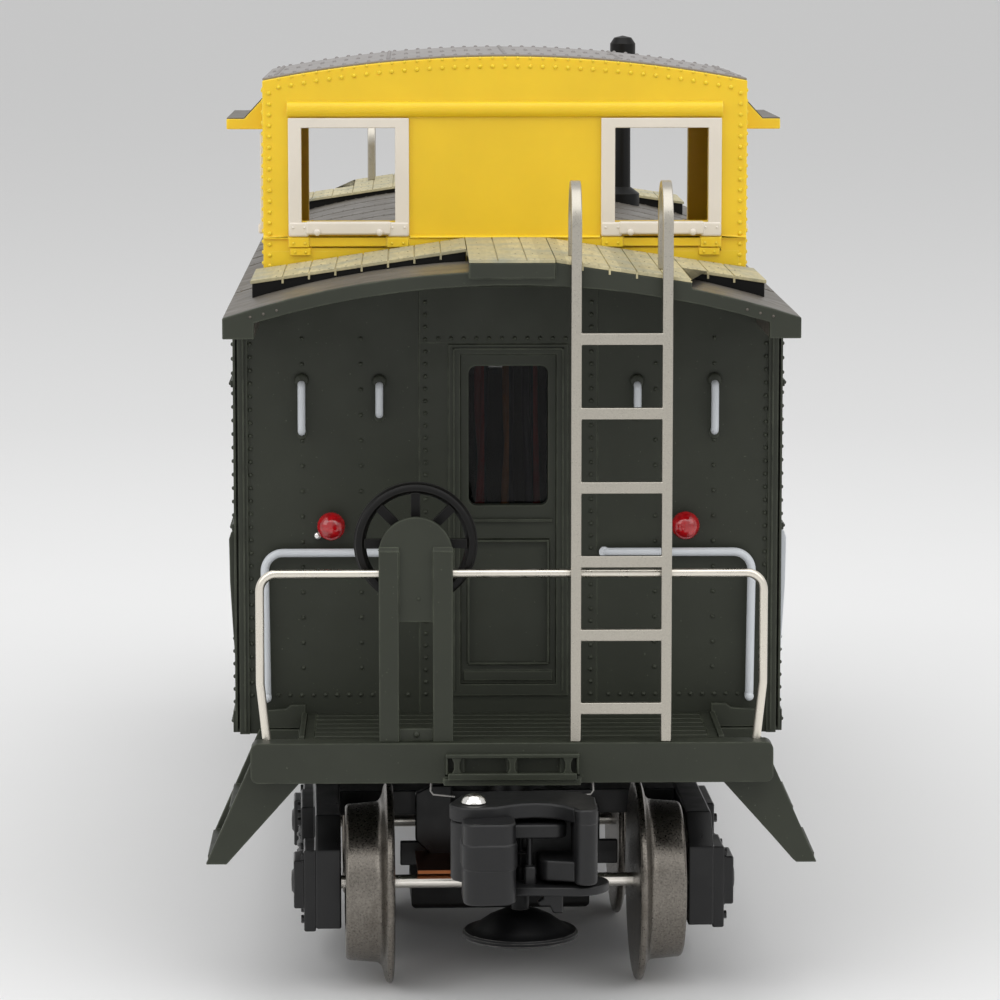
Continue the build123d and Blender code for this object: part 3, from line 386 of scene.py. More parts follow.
def circuit(name):
    """Green board with lighter tracks."""
    made = Finish(name)
    tracks = made.node("ShaderNodeTexBrick")
    tracks.inputs["Scale"].default_value = 500
    tracks.inputs["Color1"].default_value = linear(30, 96, 52)
    tracks.inputs["Color2"].default_value = linear(24, 84, 46)
    tracks.inputs["Mortar"].default_value = linear(70, 140, 84)
    made.link(made.place, tracks.inputs["Vector"])
    made.link(tracks.outputs["Color"], made.shader.inputs["Base Color"])
    made.link(made.spread(made.noise(2.0), 0.3, 0.7, 0.25, 0.4), made.shader.inputs["Roughness"])
    made.bump(tracks.outputs["Fac"], 0.02)
    return made.material


def floor_finish(name):
    """Matt white paper with a faint mottle, painted lighter near the middle as a pool of light."""
    made = Finish(name)
    reach = made.node("ShaderNodeVectorMath", operation="LENGTH")
    made.link(made.place, reach.inputs[0])
    near = made.mix(made.noise(60.0, 2.0), linear(231, 231, 231), linear(234, 234, 234))
    # painted light: lighter paper within 0.1 m of the middle, duller past 0.5 m
    shade = made.mix(made.spread(reach.outputs["Value"], 0.1, 0.5), near, linear(221, 221, 221))
    made.link(shade, made.shader.inputs["Base Color"])
    made.set(Roughness=0.55, Specular_IOR_Level=0.25)
    return made.material


GREEN = linear(48, 51, 42)
YELLOW = linear(238, 200, 34)
# the edge colours below are painted highlights along edges
FINISHES = {
    "body_green": plastic("body_green", GREEN, 0.48, tone=0.07, dust=0.045, specular=0.3,
                          edge=scaled(GREEN, 2.9), edge_radius=0.28),
    # pale: a painted sheen on the cupola roof above 104.5 mm
    "roof_grey": plastic("roof_grey", linear(90, 85, 78), 0.44, tone=0.06, grain_mm=0.35,
                         grain_depth=0.014, dust=0.02, specular=0.3,
                         pale=(104.5, linear(138, 134, 132))),
    "cupola_yellow": plastic("cupola_yellow", YELLOW, 0.38, tone=0.03, dust=0.0,
                             grain_mm=0.5, grain_depth=0.004, glow=0.3,
                             edge=linear(250, 218, 92), edge_radius=0.2),
    "frame_white": plastic("frame_white", linear(225, 217, 205), 0.38, tone=0.03,
                           edge=linear(240, 236, 230)),
    "board_tan": wood_boards("board_tan"),
    "black_plastic": plastic("black_plastic", linear(11, 10, 9), 0.42, tone=0.2, grain_depth=0.012,
                             edge=linear(54, 54, 50), edge_radius=0.15, specular=0.22),
    "frame_black": plastic("frame_black", linear(24, 24, 25), 0.42, tone=0.12, grain_mm=0.3),
    "screw_steel": metal("screw_steel", linear(150, 148, 145), 0.35),
    "ladder_steel": metal("ladder_steel", linear(184, 179, 168), 0.33, speckle=0.08,
                          speckle_mm=0.16, depth=0.004),
    "rail_steel": metal("rail_steel", linear(226, 220, 208), 0.3, speckle=0.02, speckle_mm=2.0,
                        depth=0.001),
    "grab_white": plastic("grab_white", linear(203, 207, 211), 0.32, tone=0.04, grain_mm=0.3),
    "lamp_red": lens("lamp_red", linear(172, 6, 18)),
    "window_clear": glass("window_clear"),
    "circuit_board": circuit("circuit_board"),
    "wire_insulation": wires("wire_insulation"),
    "truck_black": plastic("truck_black", linear(14, 14, 15), 0.34, tone=0.12, grain_mm=0.2,
                           specular=0.4, edge=linear(60, 60, 60), edge_radius=0.16),
    "wheel_nickel": metal("wheel_nickel", linear(122, 117, 110), 0.3, speckle=0.3,
                          speckle_mm=0.24, depth=0.035, tarnish=linear(84, 77, 70)),
    "axle_steel": metal("axle_steel", linear(250, 245, 236), 0.24, speckle=0.03, speckle_mm=3.0,
                        depth=0.001),
    "wiper_copper": metal("wiper_copper", linear(150, 92, 58), 0.36, speckle=0.1),
    "coupler_grey": plastic("coupler_grey", linear(21, 21, 22), 0.42, tone=0.1, grain_mm=0.18,
                            grain_depth=0.012, specular=0.4, edge=linear(62, 62, 62),
                            edge_radius=0.18),
    "pin_chrome": metal("pin_chrome", linear(232, 230, 226), 0.16, speckle=0.06, speckle_mm=0.4),
    "armature_black": plastic("armature_black", linear(3, 3, 4), 0.5, tone=0.1, specular=0.2,
                              edge=linear(130, 128, 124), edge_radius=0.1),
    "pickup_steel": metal("pickup_steel", linear(160, 158, 155), 0.35),
}


# ---- pieces -------------------------------------------------------------------------
def place_piece(obj, finish, body, replaces=(), smooth=38.0):
    """Give a mesh its finish, shading and body."""
    mesh = obj.data
    mesh.materials.clear()
    mesh.materials.append(FINISHES[finish])
    mesh.shade_smooth()
    mesh.set_sharp_from_angle(angle=radians(smooth))
    scene.collection.objects.link(obj)
    obj.modifiers.new("even_normals", "WEIGHTED_NORMAL").keep_sharp = True
    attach(obj, body)
    if replaces:
        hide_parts(*replaces)
    return obj


def round_edges(bm, width, segments, corner):
    """Round every corner sharper than a given angle."""
    sharp = [e for e in bm.edges
             if len(e.link_faces) == 2 and e.calc_face_angle(0) > radians(corner)]
    bmesh.ops.bevel(bm, geom=sharp, offset=width, segments=segments, profile=0.5,
                    affect="EDGES", clamp_overlap=False)


def piece(name, shape, finish, body="carbody", round_mm=0.0, replaces=(), segments=2,
          corner=40.0, smooth=50.0):
    """Make one piece of the visual model from a shape."""
    bm = bmesh.new()
    made = [bm.verts.new(v * MM) for v in shape.vertices]
    for face in shape.faces:
        bm.faces.new([made[i] for i in face])
    bmesh.ops.recalc_face_normals(bm, faces=bm.faces)
    if round_mm:
        round_edges(bm, round_mm * MM, segments, corner)
    mesh = bpy.data.meshes.new(name)
    bm.to_mesh(mesh)
    bm.free()
    return place_piece(bpy.data.objects.new(name, mesh), finish, body, replaces, smooth)


NODE_FINISH = {row["node"]: row["material_slot"] for row in frame["record"]["subparts"]}
NODE_BODY = {node: body for body, nodes in frame["record"]["behaviour"]["bodies"].items()
             for node in nodes}


def softened(node, round_mm):
    """The CAD node with its corners rounded, shown in its place."""
    bm = bmesh.new()
    bm.from_mesh(frame["nodes"][node].data)
    bmesh.ops.remove_doubles(bm, verts=bm.verts, dist=1e-7)
    bmesh.ops.dissolve_limit(bm, angle_limit=radians(0.6), verts=bm.verts, edges=bm.edges)
    round_edges(bm, round_mm * MM, 2, 35.0)
    mesh = bpy.data.meshes.new(node + "_look")
    bm.to_mesh(mesh)
    bm.free()
    made = bpy.data.objects.new(node + "_look", mesh)
    return place_piece(made, NODE_FINISH[node], NODE_BODY[node], (node,), 50.0)


TRUCKS = {}
for joint in frame["joints"]:
    if joint["name"].endswith("_wheelset_outer_spin"):
        end_name = joint["name"].split("_")[0]
        swivel = next(j for j in frame["joints"] if j["name"] == end_name + "_truck_swivel")
        turn = atan2(joint["axis"][1], joint["axis"][0])
        centre = Vector((swivel["pos_m"][0], swivel["pos_m"][1], 0)) / MM
        TRUCKS[end_name] = Matrix.Translation(centre) @ Matrix.Rotation(turn, 4, "Z")

# ---- dimensions taken from the frame -------------------------------------------------
door_low = box_mm("end_doors")[0]
cupola_high = box_mm("cupola_shell")[1]
cupola_roof_low, cupola_roof_high = box_mm("cupola_roof")
roof_high = box_mm("roof")[1]
fascia_low = box_mm("roof_fascias")[0]
platform_low = box_mm("platform_front")[0]
stand_low = box_mm("brake_stand_front")[0]
wheel_low, wheel_high = box_mm("brake_wheel_front")
wheel_plane_y = -98.35
stand_posts = ((-15.3, -13.0), (-9.1, -6.8))
stand_post_z = 53.7

wall_y = -82.0
seam_proud = 0.15
side_x = 32.7
roof_radius = 105.0
roof_axis_z = roof_high.z - roof_radius
cupola_half = cupola_high.x
cupola_front_y = -65.0
cupola_rear_y = -26.0
cupola_mid_y = (cupola_front_y + cupola_rear_y) / 2
cupola_eave_z = 106.1
cupola_crown_z = cupola_high.z
cupola_rise = cupola_crown_z - cupola_eave_z
cupola_radius = (cupola_half ** 2 + cupola_rise ** 2) / (2 * cupola_rise)
cupola_axis_z = cupola_crown_z - cupola_radius


def roof_z(x):
    return roof_axis_z + sqrt(roof_radius ** 2 - x ** 2)


def cupola_arch_z(x, lift=0.0):
    return cupola_axis_z + sqrt((cupola_radius + lift) ** 2 - x ** 2)


# ---- rivets on the body ---------------------------------------------------------------
rivet_radius = 0.27
rivet_height = 0.26


def body_rivets():
    """Rivet heads on one end wall."""
    heads = Shape()
    outward = (0, -1, 0)
    for side in (-1, 1):
        for z in steps_between(33.5, 77.2, 1.57):
            heads.dome((side * 30.6, wall_y, z), outward, rivet_radius, rivet_height)
        for z in steps_between(33.6, 80.6, 1.48):
            heads.dome((side * 9.85, wall_y - seam_proud, z), outward, rivet_radius, rivet_height)
        for x in (24.45, 17.5):
            for z in steps_between(36.8, 76.3, 3.04):
                heads.dome((side * x, wall_y, z), outward, rivet_radius, rivet_height)
        for x in steps_between(12.0, 28.9, 1.45):
            heads.dome((side * x, wall_y, 33.5), outward, rivet_radius, rivet_height)
    for x in steps_between(-8.3, 8.3, 1.52):
        heads.dome((x, wall_y - seam_proud, 76.3), outward, rivet_radius, rivet_height)
    return heads


def side_rivets():
    """Rivet heads along the sill, the belt rails and the sheet joints of both sides."""
    heads = Shape()
    for side in (-1, 1):
        outward = (side, 0, 0)
        rail_x = side * (side_x + 0.25)
        for z in (30.1, 53.6, 70.8):
            for y in steps_between(-80.2, 80.2, 1.57):
                heads.dome((rail_x, y, z), outward, rivet_radius, rivet_height)
        for y in (-80.2, -67.5, -46.5, -25.0, 3.9, 33.0, 43.0, 69.5, 80.2):
            for z in steps_between(32.4, 52.4, 1.57) + steps_between(55.0, 69.6, 1.57):
                heads.dome((side * side_x, y, z), outward, rivet_radius, rivet_height)
            for z in steps_between(72.0, 77.2, 1.57):
                heads.dome((side * side_x, y, z), outward, rivet_radius, rivet_height)
    return heads


piece("end_wall_rivets", both_ends(body_rivets()), "body_green")
piece("side_wall_rivets", side_rivets(), "body_green")

# fine mouldings of the end walls: corner ridges, door crease and frame beads
end_trim = Shape()
for side in (-1, 1):
    end_trim.block(side * 32.35, side * 32.62, wall_y - 0.05, wall_y + 1.1, 29.2, 77.8)
    end_trim.block(side * 31.3, side * 31.55, wall_y - 0.55, wall_y - 0.3, 29.2, 77.6)
    end_trim.block(side * 6.35, side * 6.6, wall_y - 0.62, wall_y - 0.4, 34.0, 75.2)
end_trim.block(-6.6, 6.6, wall_y - 0.62, wall_y - 0.4, 74.95, 75.2)
end_trim.block(-10.6, 10.6, wall_y - seam_proud - 0.015, wall_y + 0.05, 75.7, 82.5)
end_trim.block(-5.2, 5.2, door_low.y - 0.12, door_low.y + 0.2, 54.4, 54.75)
for x in (-4.75, 4.75):
    end_trim.block(x - 0.12, x + 0.12, door_low.y - 0.1, door_low.y + 0.3, 37.4, 52.2)
for z in (37.3, 52.1):
    end_trim.block(-4.75, 4.75, door_low.y - 0.1, door_low.y + 0.3, z - 0.12, z + 0.12)
piece("end_wall_trim", both_ends(end_trim), "body_green", round_mm=0.05)

# ---- fascia, roof seams and their rivets --------------------------------------------------
fascia_heads = Shape()
for side in (-1, 1):
    for x, z in ((29.8, 80.55), (28.3, 80.9), (26.8, 81.3)):
        fascia_heads.dome((side * x, fascia_low.y + 0.6, z), (0, -1, 0), 0.18, 0.14)
piece("fascia_rivets", both_ends(fascia_heads), "roof_grey")

roof_seams = Shape()
roof_heads = Shape()
seam_half = 0.55
for y in (-66.5, -24.0, -11.0, 2.0, 15.0, 28.0, 41.0, 54.0, 67.0):
    for side in (-1, 1):
        arc = [(side * x, roof_z(x)) for x in steps_between(5.3, 32.8, 3.0)]
        strip = [(x, z + 0.06) for x, z in arc] + [(x, z - 0.1) for x, z in reversed(arc)]
        roof_seams.prism(strip, y - seam_half, y + seam_half, in_xz)
        for x in steps_between(6.0, 32.2, 1.55):
            outward = Vector((side * x, 0, roof_z(x) - roof_axis_z)).normalized()
            for shift in (-1.05, 1.05):
                roof_heads.dome((side * x, y + shift, roof_z(x)), outward, 0.2, 0.08, 8)
piece("roof_seams", roof_seams, "roof_grey", round_mm=0.04)
piece("roof_rivets", roof_heads, "roof_grey")

# ---- cupola -----------------------------------------------------------------------------
cupola_rivet = (0.29, 0.22)
cupola_heads = Shape()
for face_y, out in ((cupola_front_y, -1), (cupola_rear_y, 1)):
    outward = (0, out, 0)
    for x in steps_between(-27.5, 27.5, 1.53):
        cupola_heads.dome((x, face_y, cupola_arch_z(x, -1.15)), outward, *cupola_rivet)
        cupola_heads.dome((x, face_y, cupola_arch_z(x, -0.15)), outward, 0.2, 0.14)
    for side in (-1, 1):
        for z in steps_between(83.6, 104.6, 1.28):
            cupola_heads.dome((side * 28.7, face_y, z), outward, *cupola_rivet)
        # screws of the sill tabs
        for x, z, depth in ((12.4, 86.4, 0.6), (13.8, 86.4, 0.6), (24.4, 86.4, 0.6),
                            (25.8, 86.4, 0.6), (24.3, 85.3, 0.45), (25.6, 85.3, 0.45)):
            cupola_heads.dome((side * x, face_y + out * depth, z), outward, 0.2, 0.14)
for side in (-1, 1):
    for y in (cupola_front_y + 0.9, cupola_mid_y, cupola_rear_y - 0.9):
        for z in steps_between(82.6, 104.9, 1.28):
            if abs(z - 101.9) > 2.3 or abs(y - cupola_mid_y) > 13:
                cupola_heads.dome((side * cupola_half, y, z), (side, 0, 0), *cupola_rivet)
    for y in steps_between(cupola_front_y + 2.2, cupola_rear_y - 2.2, 1.53):
        cupola_heads.dome((side * cupola_half, y, 105.0), (side, 0, 0), *cupola_rivet)
piece("cupola_rivets", cupola_heads, "cupola_yellow")

cupola_roof_heads = Shape()
sheet = cupola_roof_high.z - cupola_crown_z
for x in steps_between(-28.6, 28.6, 1.5):
    top = cupola_arch_z(x, sheet)
    outward = Vector((x, 0, top - cupola_axis_z)).normalized()
    for y in (cupola_roof_low.y + 0.7, cupola_mid_y - 0.8, cupola_mid_y + 0.8,
              cupola_roof_high.y - 0.7):
        cupola_roof_heads.dome((x, y, top), outward, 0.27, 0.2)
for y in steps_between(cupola_roof_low.y + 2.2, cupola_roof_high.y - 2.2, 1.5):
    for x in (-27.9, -14.2, 0.0, 14.2, 27.9):
        top = cupola_arch_z(x, sheet)
        outward = Vector((x, 0, top - cupola_axis_z)).normalized()
        cupola_roof_heads.dome((x, y, top), outward, 0.27, 0.2)
piece("cupola_roof_rivets", cupola_roof_heads, "roof_grey")

# window frames: stiles and heads, then rounded sills between tabs, with latch knobs;
# both outlines are given as nearest and farthest X, lowest and highest Z
opening = (13.4, 24.8, 89.05, 100.4)
outer = (11.7, 26.4, 87.2, 101.6)
frames = Shape()
sills = Shape()
knobs = Shape()
for face_y, out in ((cupola_front_y, -1), (cupola_rear_y, 1)):
    for side in (-1, 1):
        front = face_y + out * 0.6
        foot = outer[2] if face_y == cupola_rear_y else opening[2] - 0.3
        arch = [(outer[0], foot), (outer[0], outer[3]), (outer[1], outer[3]), (outer[1], foot),
                (opening[1], foot), (opening[1], opening[3]), (opening[0], opening[3]),
                (opening[0], foot)]
        frames.prism([(side * x, z) for x, z in arch], face_y, front, in_xz)
        if face_y == cupola_rear_y:
            continue
        sills.block(side * 13.9, side * 24.3, face_y, face_y + out * 1.0, outer[2] + 0.25,
                    opening[2])
        for x_low, x_high in ((outer[0], 14.3), (23.9, outer[1])):
            sills.block(side * x_low, side * x_high, face_y, face_y + out * 0.75, outer[2],
                        opening[2] - 0.1)
            for x in (x_low + 0.55, x_high - 0.55):
                knobs.dome((side * x, face_y + out * 0.75, 88.3), (0, out, 0), 0.17, 0.1)
        for x in (15.3, 22.9):
            knobs.turned([(0, 0.44), (0.24, 0.42), (0.4, 0.28), (0.42, 0.12), (0.32, 0.08),
                          (0.32, -0.2), (0, -0.2)], (side * x, face_y + out * 0.95, 87.75),
                         (0, out, 0), 20)
for side in (-1, 1):
    near, far = side * cupola_half, side * (cupola_half + 0.6)
    for y_low, y_high in ((-56.3, -46.5), (-44.5, -34.7)):
        arch = [(y_low - 0.9, 88.0), (y_low - 0.9, 99.4), (y_high + 0.9, 99.4),
                (y_high + 0.9, 88.0), (y_high, 88.0), (y_high, 98.4), (y_low, 98.4), (y_low, 88.0)]
        frames.prism(arch, near, far, in_yz)
        sills.block(near, side * (cupola_half + 0.9), y_low - 0.9, y_high + 0.9, 87.0, 88.2)
piece("cupola_frame_stiles", frames, "frame_white", round_mm=0.12,
      replaces=("cupola_window_frames",))
piece("cupola_frame_sills", sills, "frame_white", round_mm=0.28, segments=3)
piece("cupola_frame_knobs", knobs, "frame_white")

# half round mouldings under the arch and between the sills
mouldings = Shape()
for face_y in (cupola_front_y, cupola_rear_y):
    out = -1 if face_y == cupola_front_y else 1
    bead = [(face_y + out * 0.72 * sin(radians(a)), 102.65 + 0.95 * cos(radians(a)))
            for a in range(0, 181, 15)]
    mouldings.prism(bead, -26.5, 26.5, in_yz)
    ledge = [(face_y + out * 0.55 * sin(radians(a)), 87.1 + 0.24 * cos(radians(a)))
             for a in range(0, 181, 30)]
    mouldings.prism(ledge, -11.6, 11.6, in_yz)
    # the foot of the wall beside the landing boards
    for side in (-1, 1):
        mouldings.block(side * 19.0, side * 28.6, face_y - out * 0.3, face_y + out * 0.04,
                        82.9, 85.4)
piece("cupola_mouldings", mouldings, "cupola_yellow")

# grey skins on the visors
visor_skin = Shape()
for side in (-1, 1):
    top = [(29.7, 103.85), (32.05, 101.3), (34.15, 101.3)]
    outline = [(side * x, z) for x, z in top]
    outline += [(side * x, z - 0.15) for x, z in reversed(top)]
    visor_skin.prism(outline, -57.4, -33.6, in_xz)
piece("visor_skins", visor_skin, "roof_grey")

# ---- roof walks ---------------------------------------------------------------------------
walk_high = box_mm("roof_walk_cross")[1]
walk_half = 4.9
walk_end_x, walk_end_z = 30.4, 83.3
walk_slope = (walk_high.z - walk_end_z) / (walk_end_x - walk_half)


def board_top(x):
    return walk_high.z - max(0.0, abs(x) - walk_half) * walk_slope


nails = Shape()
pegs = Shape()
for n in range(-8, 9):
    for shift in (0.55, 2.55):
        x = PLANK * (n if n >= 0 else n - 1) + shift
        if abs(x) > 29.8:
            continue
        rows = [-83.2, -75.0, -66.9]
        if 5.2 < x < 20.3:
            rows += [-100.3, -92.2]
        if abs(x) < walk_half:
            rows = [-101.0, -92.5, -84.0, -75.0, -66.9]
        for y in rows:
            nails.dome((x, y, board_top(x)), (0, 0, 1), 0.1, 0.05, 6)
for n in range(1, 9):
    for side in (-1, 1):
        x = side * (walk_half + PLANK * (n - 1))
        if abs(x) < 29:
            edge_y = -101.1 if 5.2 < x < 20.3 else -84.1
            pegs.block(x - 0.12, x + 0.12, edge_y, edge_y + 0.35, board_top(x) - 0.85,
                       board_top(x) - 0.2)
piece("board_nails", both_ends(nails), "black_plastic")
piece("board_pegs", both_ends(pegs), "board_tan")

# ---- end wall furniture ---------------------------------------------------------------------
collars = Shape()
irons = Shape()
for x, z_low, z_high in ((24.5, 65.3, 70.9), (15.3, 67.35, 70.75)):
    for side in (-1, 1):
        irons.tube([(side * x, wall_y + depth, z) for depth, z in (
            (0.1, z_high), (-0.8, z_high), (-1.1, z_high - 0.12), (-1.25, z_high - 0.45),
            (-1.25, z_low + 0.45), (-1.1, z_low + 0.12), (-0.8, z_low), (0.1, z_low))], 0.46, 14)
        collars.turned([(0.0, 0.0), (0.85, 0.0), (0.85, 0.5), (0.62, 0.72), (0.0, 0.72)],
                       (side * x, wall_y, z_high + 0.45), (0, -1, 0), 24)
        collars.turned([(0.0, 0.0), (0.6, 0.0), (0.6, 0.3), (0.45, 0.4), (0.0, 0.4)],
                       (side * x, wall_y, z_low - 0.35), (0, -1, 0), 20)
piece("grab_iron_collars", both_ends(collars), "body_green")
piece("grab_iron_bars", both_ends(irons), "grab_white", replaces=("end_grab_irons",))

rail_ends = Shape()
for side in (-1, 1):
    rail_ends.turned([(0, 0.12), (0.62, 0.12), (0.62, -0.35), (0, -0.35)],
                     (side * 11.4, wall_y - 1.25, 50.85), (0, -1, 0), 24)
    rail_ends.dome((side * 28.8, wall_y - 1.5, 33.4), (0, -1, 0), 0.55, 0.45, 20)
piece("wall_rail_ends", both_ends(rail_ends), "grab_white", smooth=40)

# rails at the corners of the sides, leaning in to the wall at the foot
lean = [(side_x - 0.3, 53.4), (side_x + 0.35, 53.0), (side_x + 0.6, 52.2),
        (side_x + 0.52, 47.0), (side_x + 0.25, 42.0), (side_x, 38.0), (side_x - 0.3, 37.0)]
# painted shade: the left rails are white like the right ones, drawn in body green for the shade on that side
for name, side, finish in (("side_rails_white", 1, "grab_white"),
                           ("side_rails_painted_shade", -1, "body_green")):
    side_rail = Shape().prism([(side * x, z) for x, z in lean], -80.9, -80.0, in_xz)
    piece(name, both_ends(side_rail), finish, round_mm=0.12,
          replaces=("side_grab_irons",) if side > 0 else ())

lamp_domes = Shape()
lamp_collars = Shape()
lamp_profile = [(1.7 * cos(radians(a)), 1.4 + 1.7 * sin(radians(a))) for a in range(-35, 90, 9)]
for side in (-1, 1):
    spot = (side * 21.05, wall_y, 54.05)
    lamp_domes.turned([(0, 0.3), (1.1, 0.3)] + lamp_profile + [(0, 3.1)], spot, (0, -1, 0), 40)
    lamp_collars.turned([(0, 0), (1.55, 0), (1.55, 0.35), (1.35, 0.5), (0, 0.5)], spot,
                        (0, -1, 0), 32)
piece("marker_lamp_domes", both_ends(lamp_domes), "lamp_red", replaces=("marker_lamps",),
      smooth=60)
piece("marker_lamp_collars", both_ends(lamp_collars), "black_plastic")
drop = Shape().turned([(0, 0.6), (0.3, 0.55), (0.5, 0.3), (0.55, 0.0), (0.4, -0.3), (0, -0.35)],
                      (-22.66, wall_y - 0.35, 52.8), (0, -1, 0), 20)
piece("marker_lamp_clips", both_ends(drop), "pin_chrome")

# sloped tops of the brake stand posts, and its screws
stand_caps = Shape()
cap = [(stand_low.y - 0.04, stand_post_z - 0.15), (stand_low.y - 0.04, stand_post_z),
       (stand_low.y + 0.5, stand_post_z + 0.45), (stand_low.y + 0.5, stand_post_z - 0.15)]
for x_low, x_high in stand_posts:
    stand_caps.prism(cap, x_low, x_high, in_yz)
piece("brake_stand_caps", both_ends(stand_caps), "body_green", round_mm=0.04)
stand_screws = Shape()
stand_screws.dome((-10.75, stand_low.y + 0.5, 48.1), (0, -1, 0), 0.22, 0.16, 12)
stand_screws.dome((-11.0, stand_low.y + 0.5, 32.3), (0, -1, 0), 0.4, 0.3, 14)
piece("brake_stand_screws", both_ends(stand_screws), "body_green")


def brake_wheel():
    """Hand wheel: rounded rim with a thin flange behind it, eight ribs and a hub."""
    wheel = Shape()
    centre = ((wheel_low.x + wheel_high.x) / 2, wheel_plane_y,
              (wheel_low.z + wheel_high.z) / 2)
    rim = [(5.85, -0.1), (5.95, 0.35), (6.2, 0.64), (6.6, 0.64), (6.9, 0.4), (6.98, 0.0),
           (7.15, -0.15), (7.15, -0.55), (6.2, -0.62), (5.7, -0.45)]
    wheel.turned(rim, centre, (0, -1, 0), 72)
    wheel.turned([(0, 0.75), (1.2, 0.75), (1.5, 0.5), (1.5, -0.7), (0, -0.7)], centre,
                 (0, -1, 0), 32)
    wheel.turned([(0, 2.45), (0.6, 2.45), (0.6, 0), (0, 0)], centre, (0, -1, 0), 20)
    for n in range(8):
        rib = Shape().block(1.2, 6.05, -0.25, 0.45, -0.55, 0.55)
        rib.block(1.2, 6.05, 0.4, 0.62, -0.2, 0.2)
        turn = Matrix.Translation(centre) @ Matrix.Rotation(radians(45 * n), 4, "Y")
        wheel.join(rib, turn)
    return wheel


for end, turn in (("front", Matrix.Identity(4)), ("rear", HALF_TURN)):
    piece(f"brake_wheel_{end}_casting", brake_wheel().moved(turn), "black_plastic",
          f"brake_wheel_{end}", replaces=(f"brake_wheel_{end}",), round_mm=0.06, corner=50,
          smooth=40)

# ---- end sill and deck ------------------------------------------------------------------------
sill_y = platform_low.y + 0.5
pocket = Shape()
pocket.block(-7.7, 7.7, sill_y - 0.75, sill_y + 0.2, 29.85, 30.3)
pocket.block(-7.4, 7.4, sill_y - 0.85, sill_y + 0.2, 27.3, 28.05)
for x in (-7.55, 7.55):
    pocket.block(x - 0.15, x + 0.15, sill_y - 0.6, sill_y + 0.2, 27.9, 30.0)
piece("coupler_pocket_lips", both_ends(pocket), "body_green", round_mm=0.1)
pocket_ribs = Shape()
for x in (-6.4, 0.0, 6.4):
    rib = [(x - 0.62, 29.9), (x + 0.62, 29.9), (x + 0.34, 29.25), (x + 0.34, 28.5),
           (x + 0.6, 28.0), (x - 0.6, 28.0), (x - 0.34, 28.5), (x - 0.34, 29.25)]
    pocket_ribs.prism(rib, sill_y - 0.62, sill_y + 0.1, in_xz)
piece("coupler_pocket_ribs", both_ends(pocket_ribs), "body_green", round_mm=0.1)

well_lips = Shape()
for side in (-1, 1):
    lip = [(29.6, 29.9), (29.6, 32.0), (26.6, 32.2), (25.9, 32.7), (24.2, 32.7), (24.2, 29.9)]
    well_lips.prism([(side * x, z) for x, z in lip], -84.4, -83.7, in_xz)
    well_lips.block(side * 24.0, side * 24.6, -99.4, -84.4, 30.6, 31.75)
piece("step_well_lips", both_ends(well_lips), "body_green", round_mm=0.08)

pull_wires = Shape()
for side in (-1, 1):
    pull_wires.tube([(side * 9.3, -100.6, 26.9), (side * 9.4, -100.9, 25.6),
                     (side * 9.1, -101.0, 25.2), (side * 6.6, -101.0, 24.95)], 0.13, 8)
piece("uncoupling_wires", both_ends(pull_wires), "screw_steel")

# ---- trucks ----------------------------------------------------------------------------------
axle_z = 12.0
axle_y = 17.5
pin_spot = (-5.9, -47.0)
disc_spot = (-0.6, -45.2, 12.4)
wheel_profile = [(0.8, 14.25), (10.4, 14.25), (11.3, 14.3), (11.75, 14.42), (11.95, 14.62),
                 (12.0, 14.85), (11.93, 15.08), (11.7, 15.25), (11.2, 15.42), (10.5, 15.58),
                 (10.0, 15.75), (9.7, 15.98), (9.55, 16.25), (9.48, 16.7), (9.25, 19.55),
                 (9.12, 19.82), (8.9, 19.98), (7.9, 20.0), (7.65, 19.9), (7.5, 19.6),
                 (7.2, 18.7), (6.9, 18.58), (3.3, 18.58), (2.9, 18.7), (2.6, 19.3), (2.3, 19.58),
                 (0.8, 19.6)]


def springs():
    """Coil springs of both side frames."""
    coils = Shape()
    for side in (-1, 1):
        for y in (-3.0, 3.0):
            path = [(side * 23.8 + 1.62 * cos(a / 10 * 2 * pi), y + 1.62 * sin(a / 10 * 2 * pi),
                     7.7 + a * 0.105) for a in range(62)]
            coils.tube(path, 0.34, 8)
    return coils


def frame_bolts():
    """Bolt heads on the journal boxes and columns."""
    bolts = Shape()
    for side in (-1, 1):
        outward = (side, 0, 0)
        for y in (-axle_y, axle_y):
            for dy, z in ((-2.8, 15.7), (2.8, 15.7), (-2.8, 8.2), (2.8, 8.2)):
                bolts.turned([(0, 0.35), (0.45, 0.35), (0.5, 0.25), (0.5, -0.1), (0, -0.1)],
                             (side * 24.9, y + dy, z), outward, 6)
            bolts.turned([(0, 0.3), (1.2, 0.25), (1.5, 0.0), (1.5, -0.1), (0, -0.1)],
                         (side * 26.1, y, 12.2), outward, 28)
        for y in (-4.6, 0.0, 4.6):
            bolts.turned([(0, 0.4), (0.5, 0.4), (0.55, 0.3), (0.55, -0.1), (0, -0.1)],
                         (side * 25.2, y, 16.6), outward, 6)
    return bolts


def arc_points(centre, radius, first, last, count):
    """Points on an arc in plan, angles in degrees."""
    return [(centre[0] + radius * cos(radians(first + (last - first) * n / count)),
             centre[1] + radius * sin(radians(first + (last - first) * n / count)))
            for n in range(count + 1)]


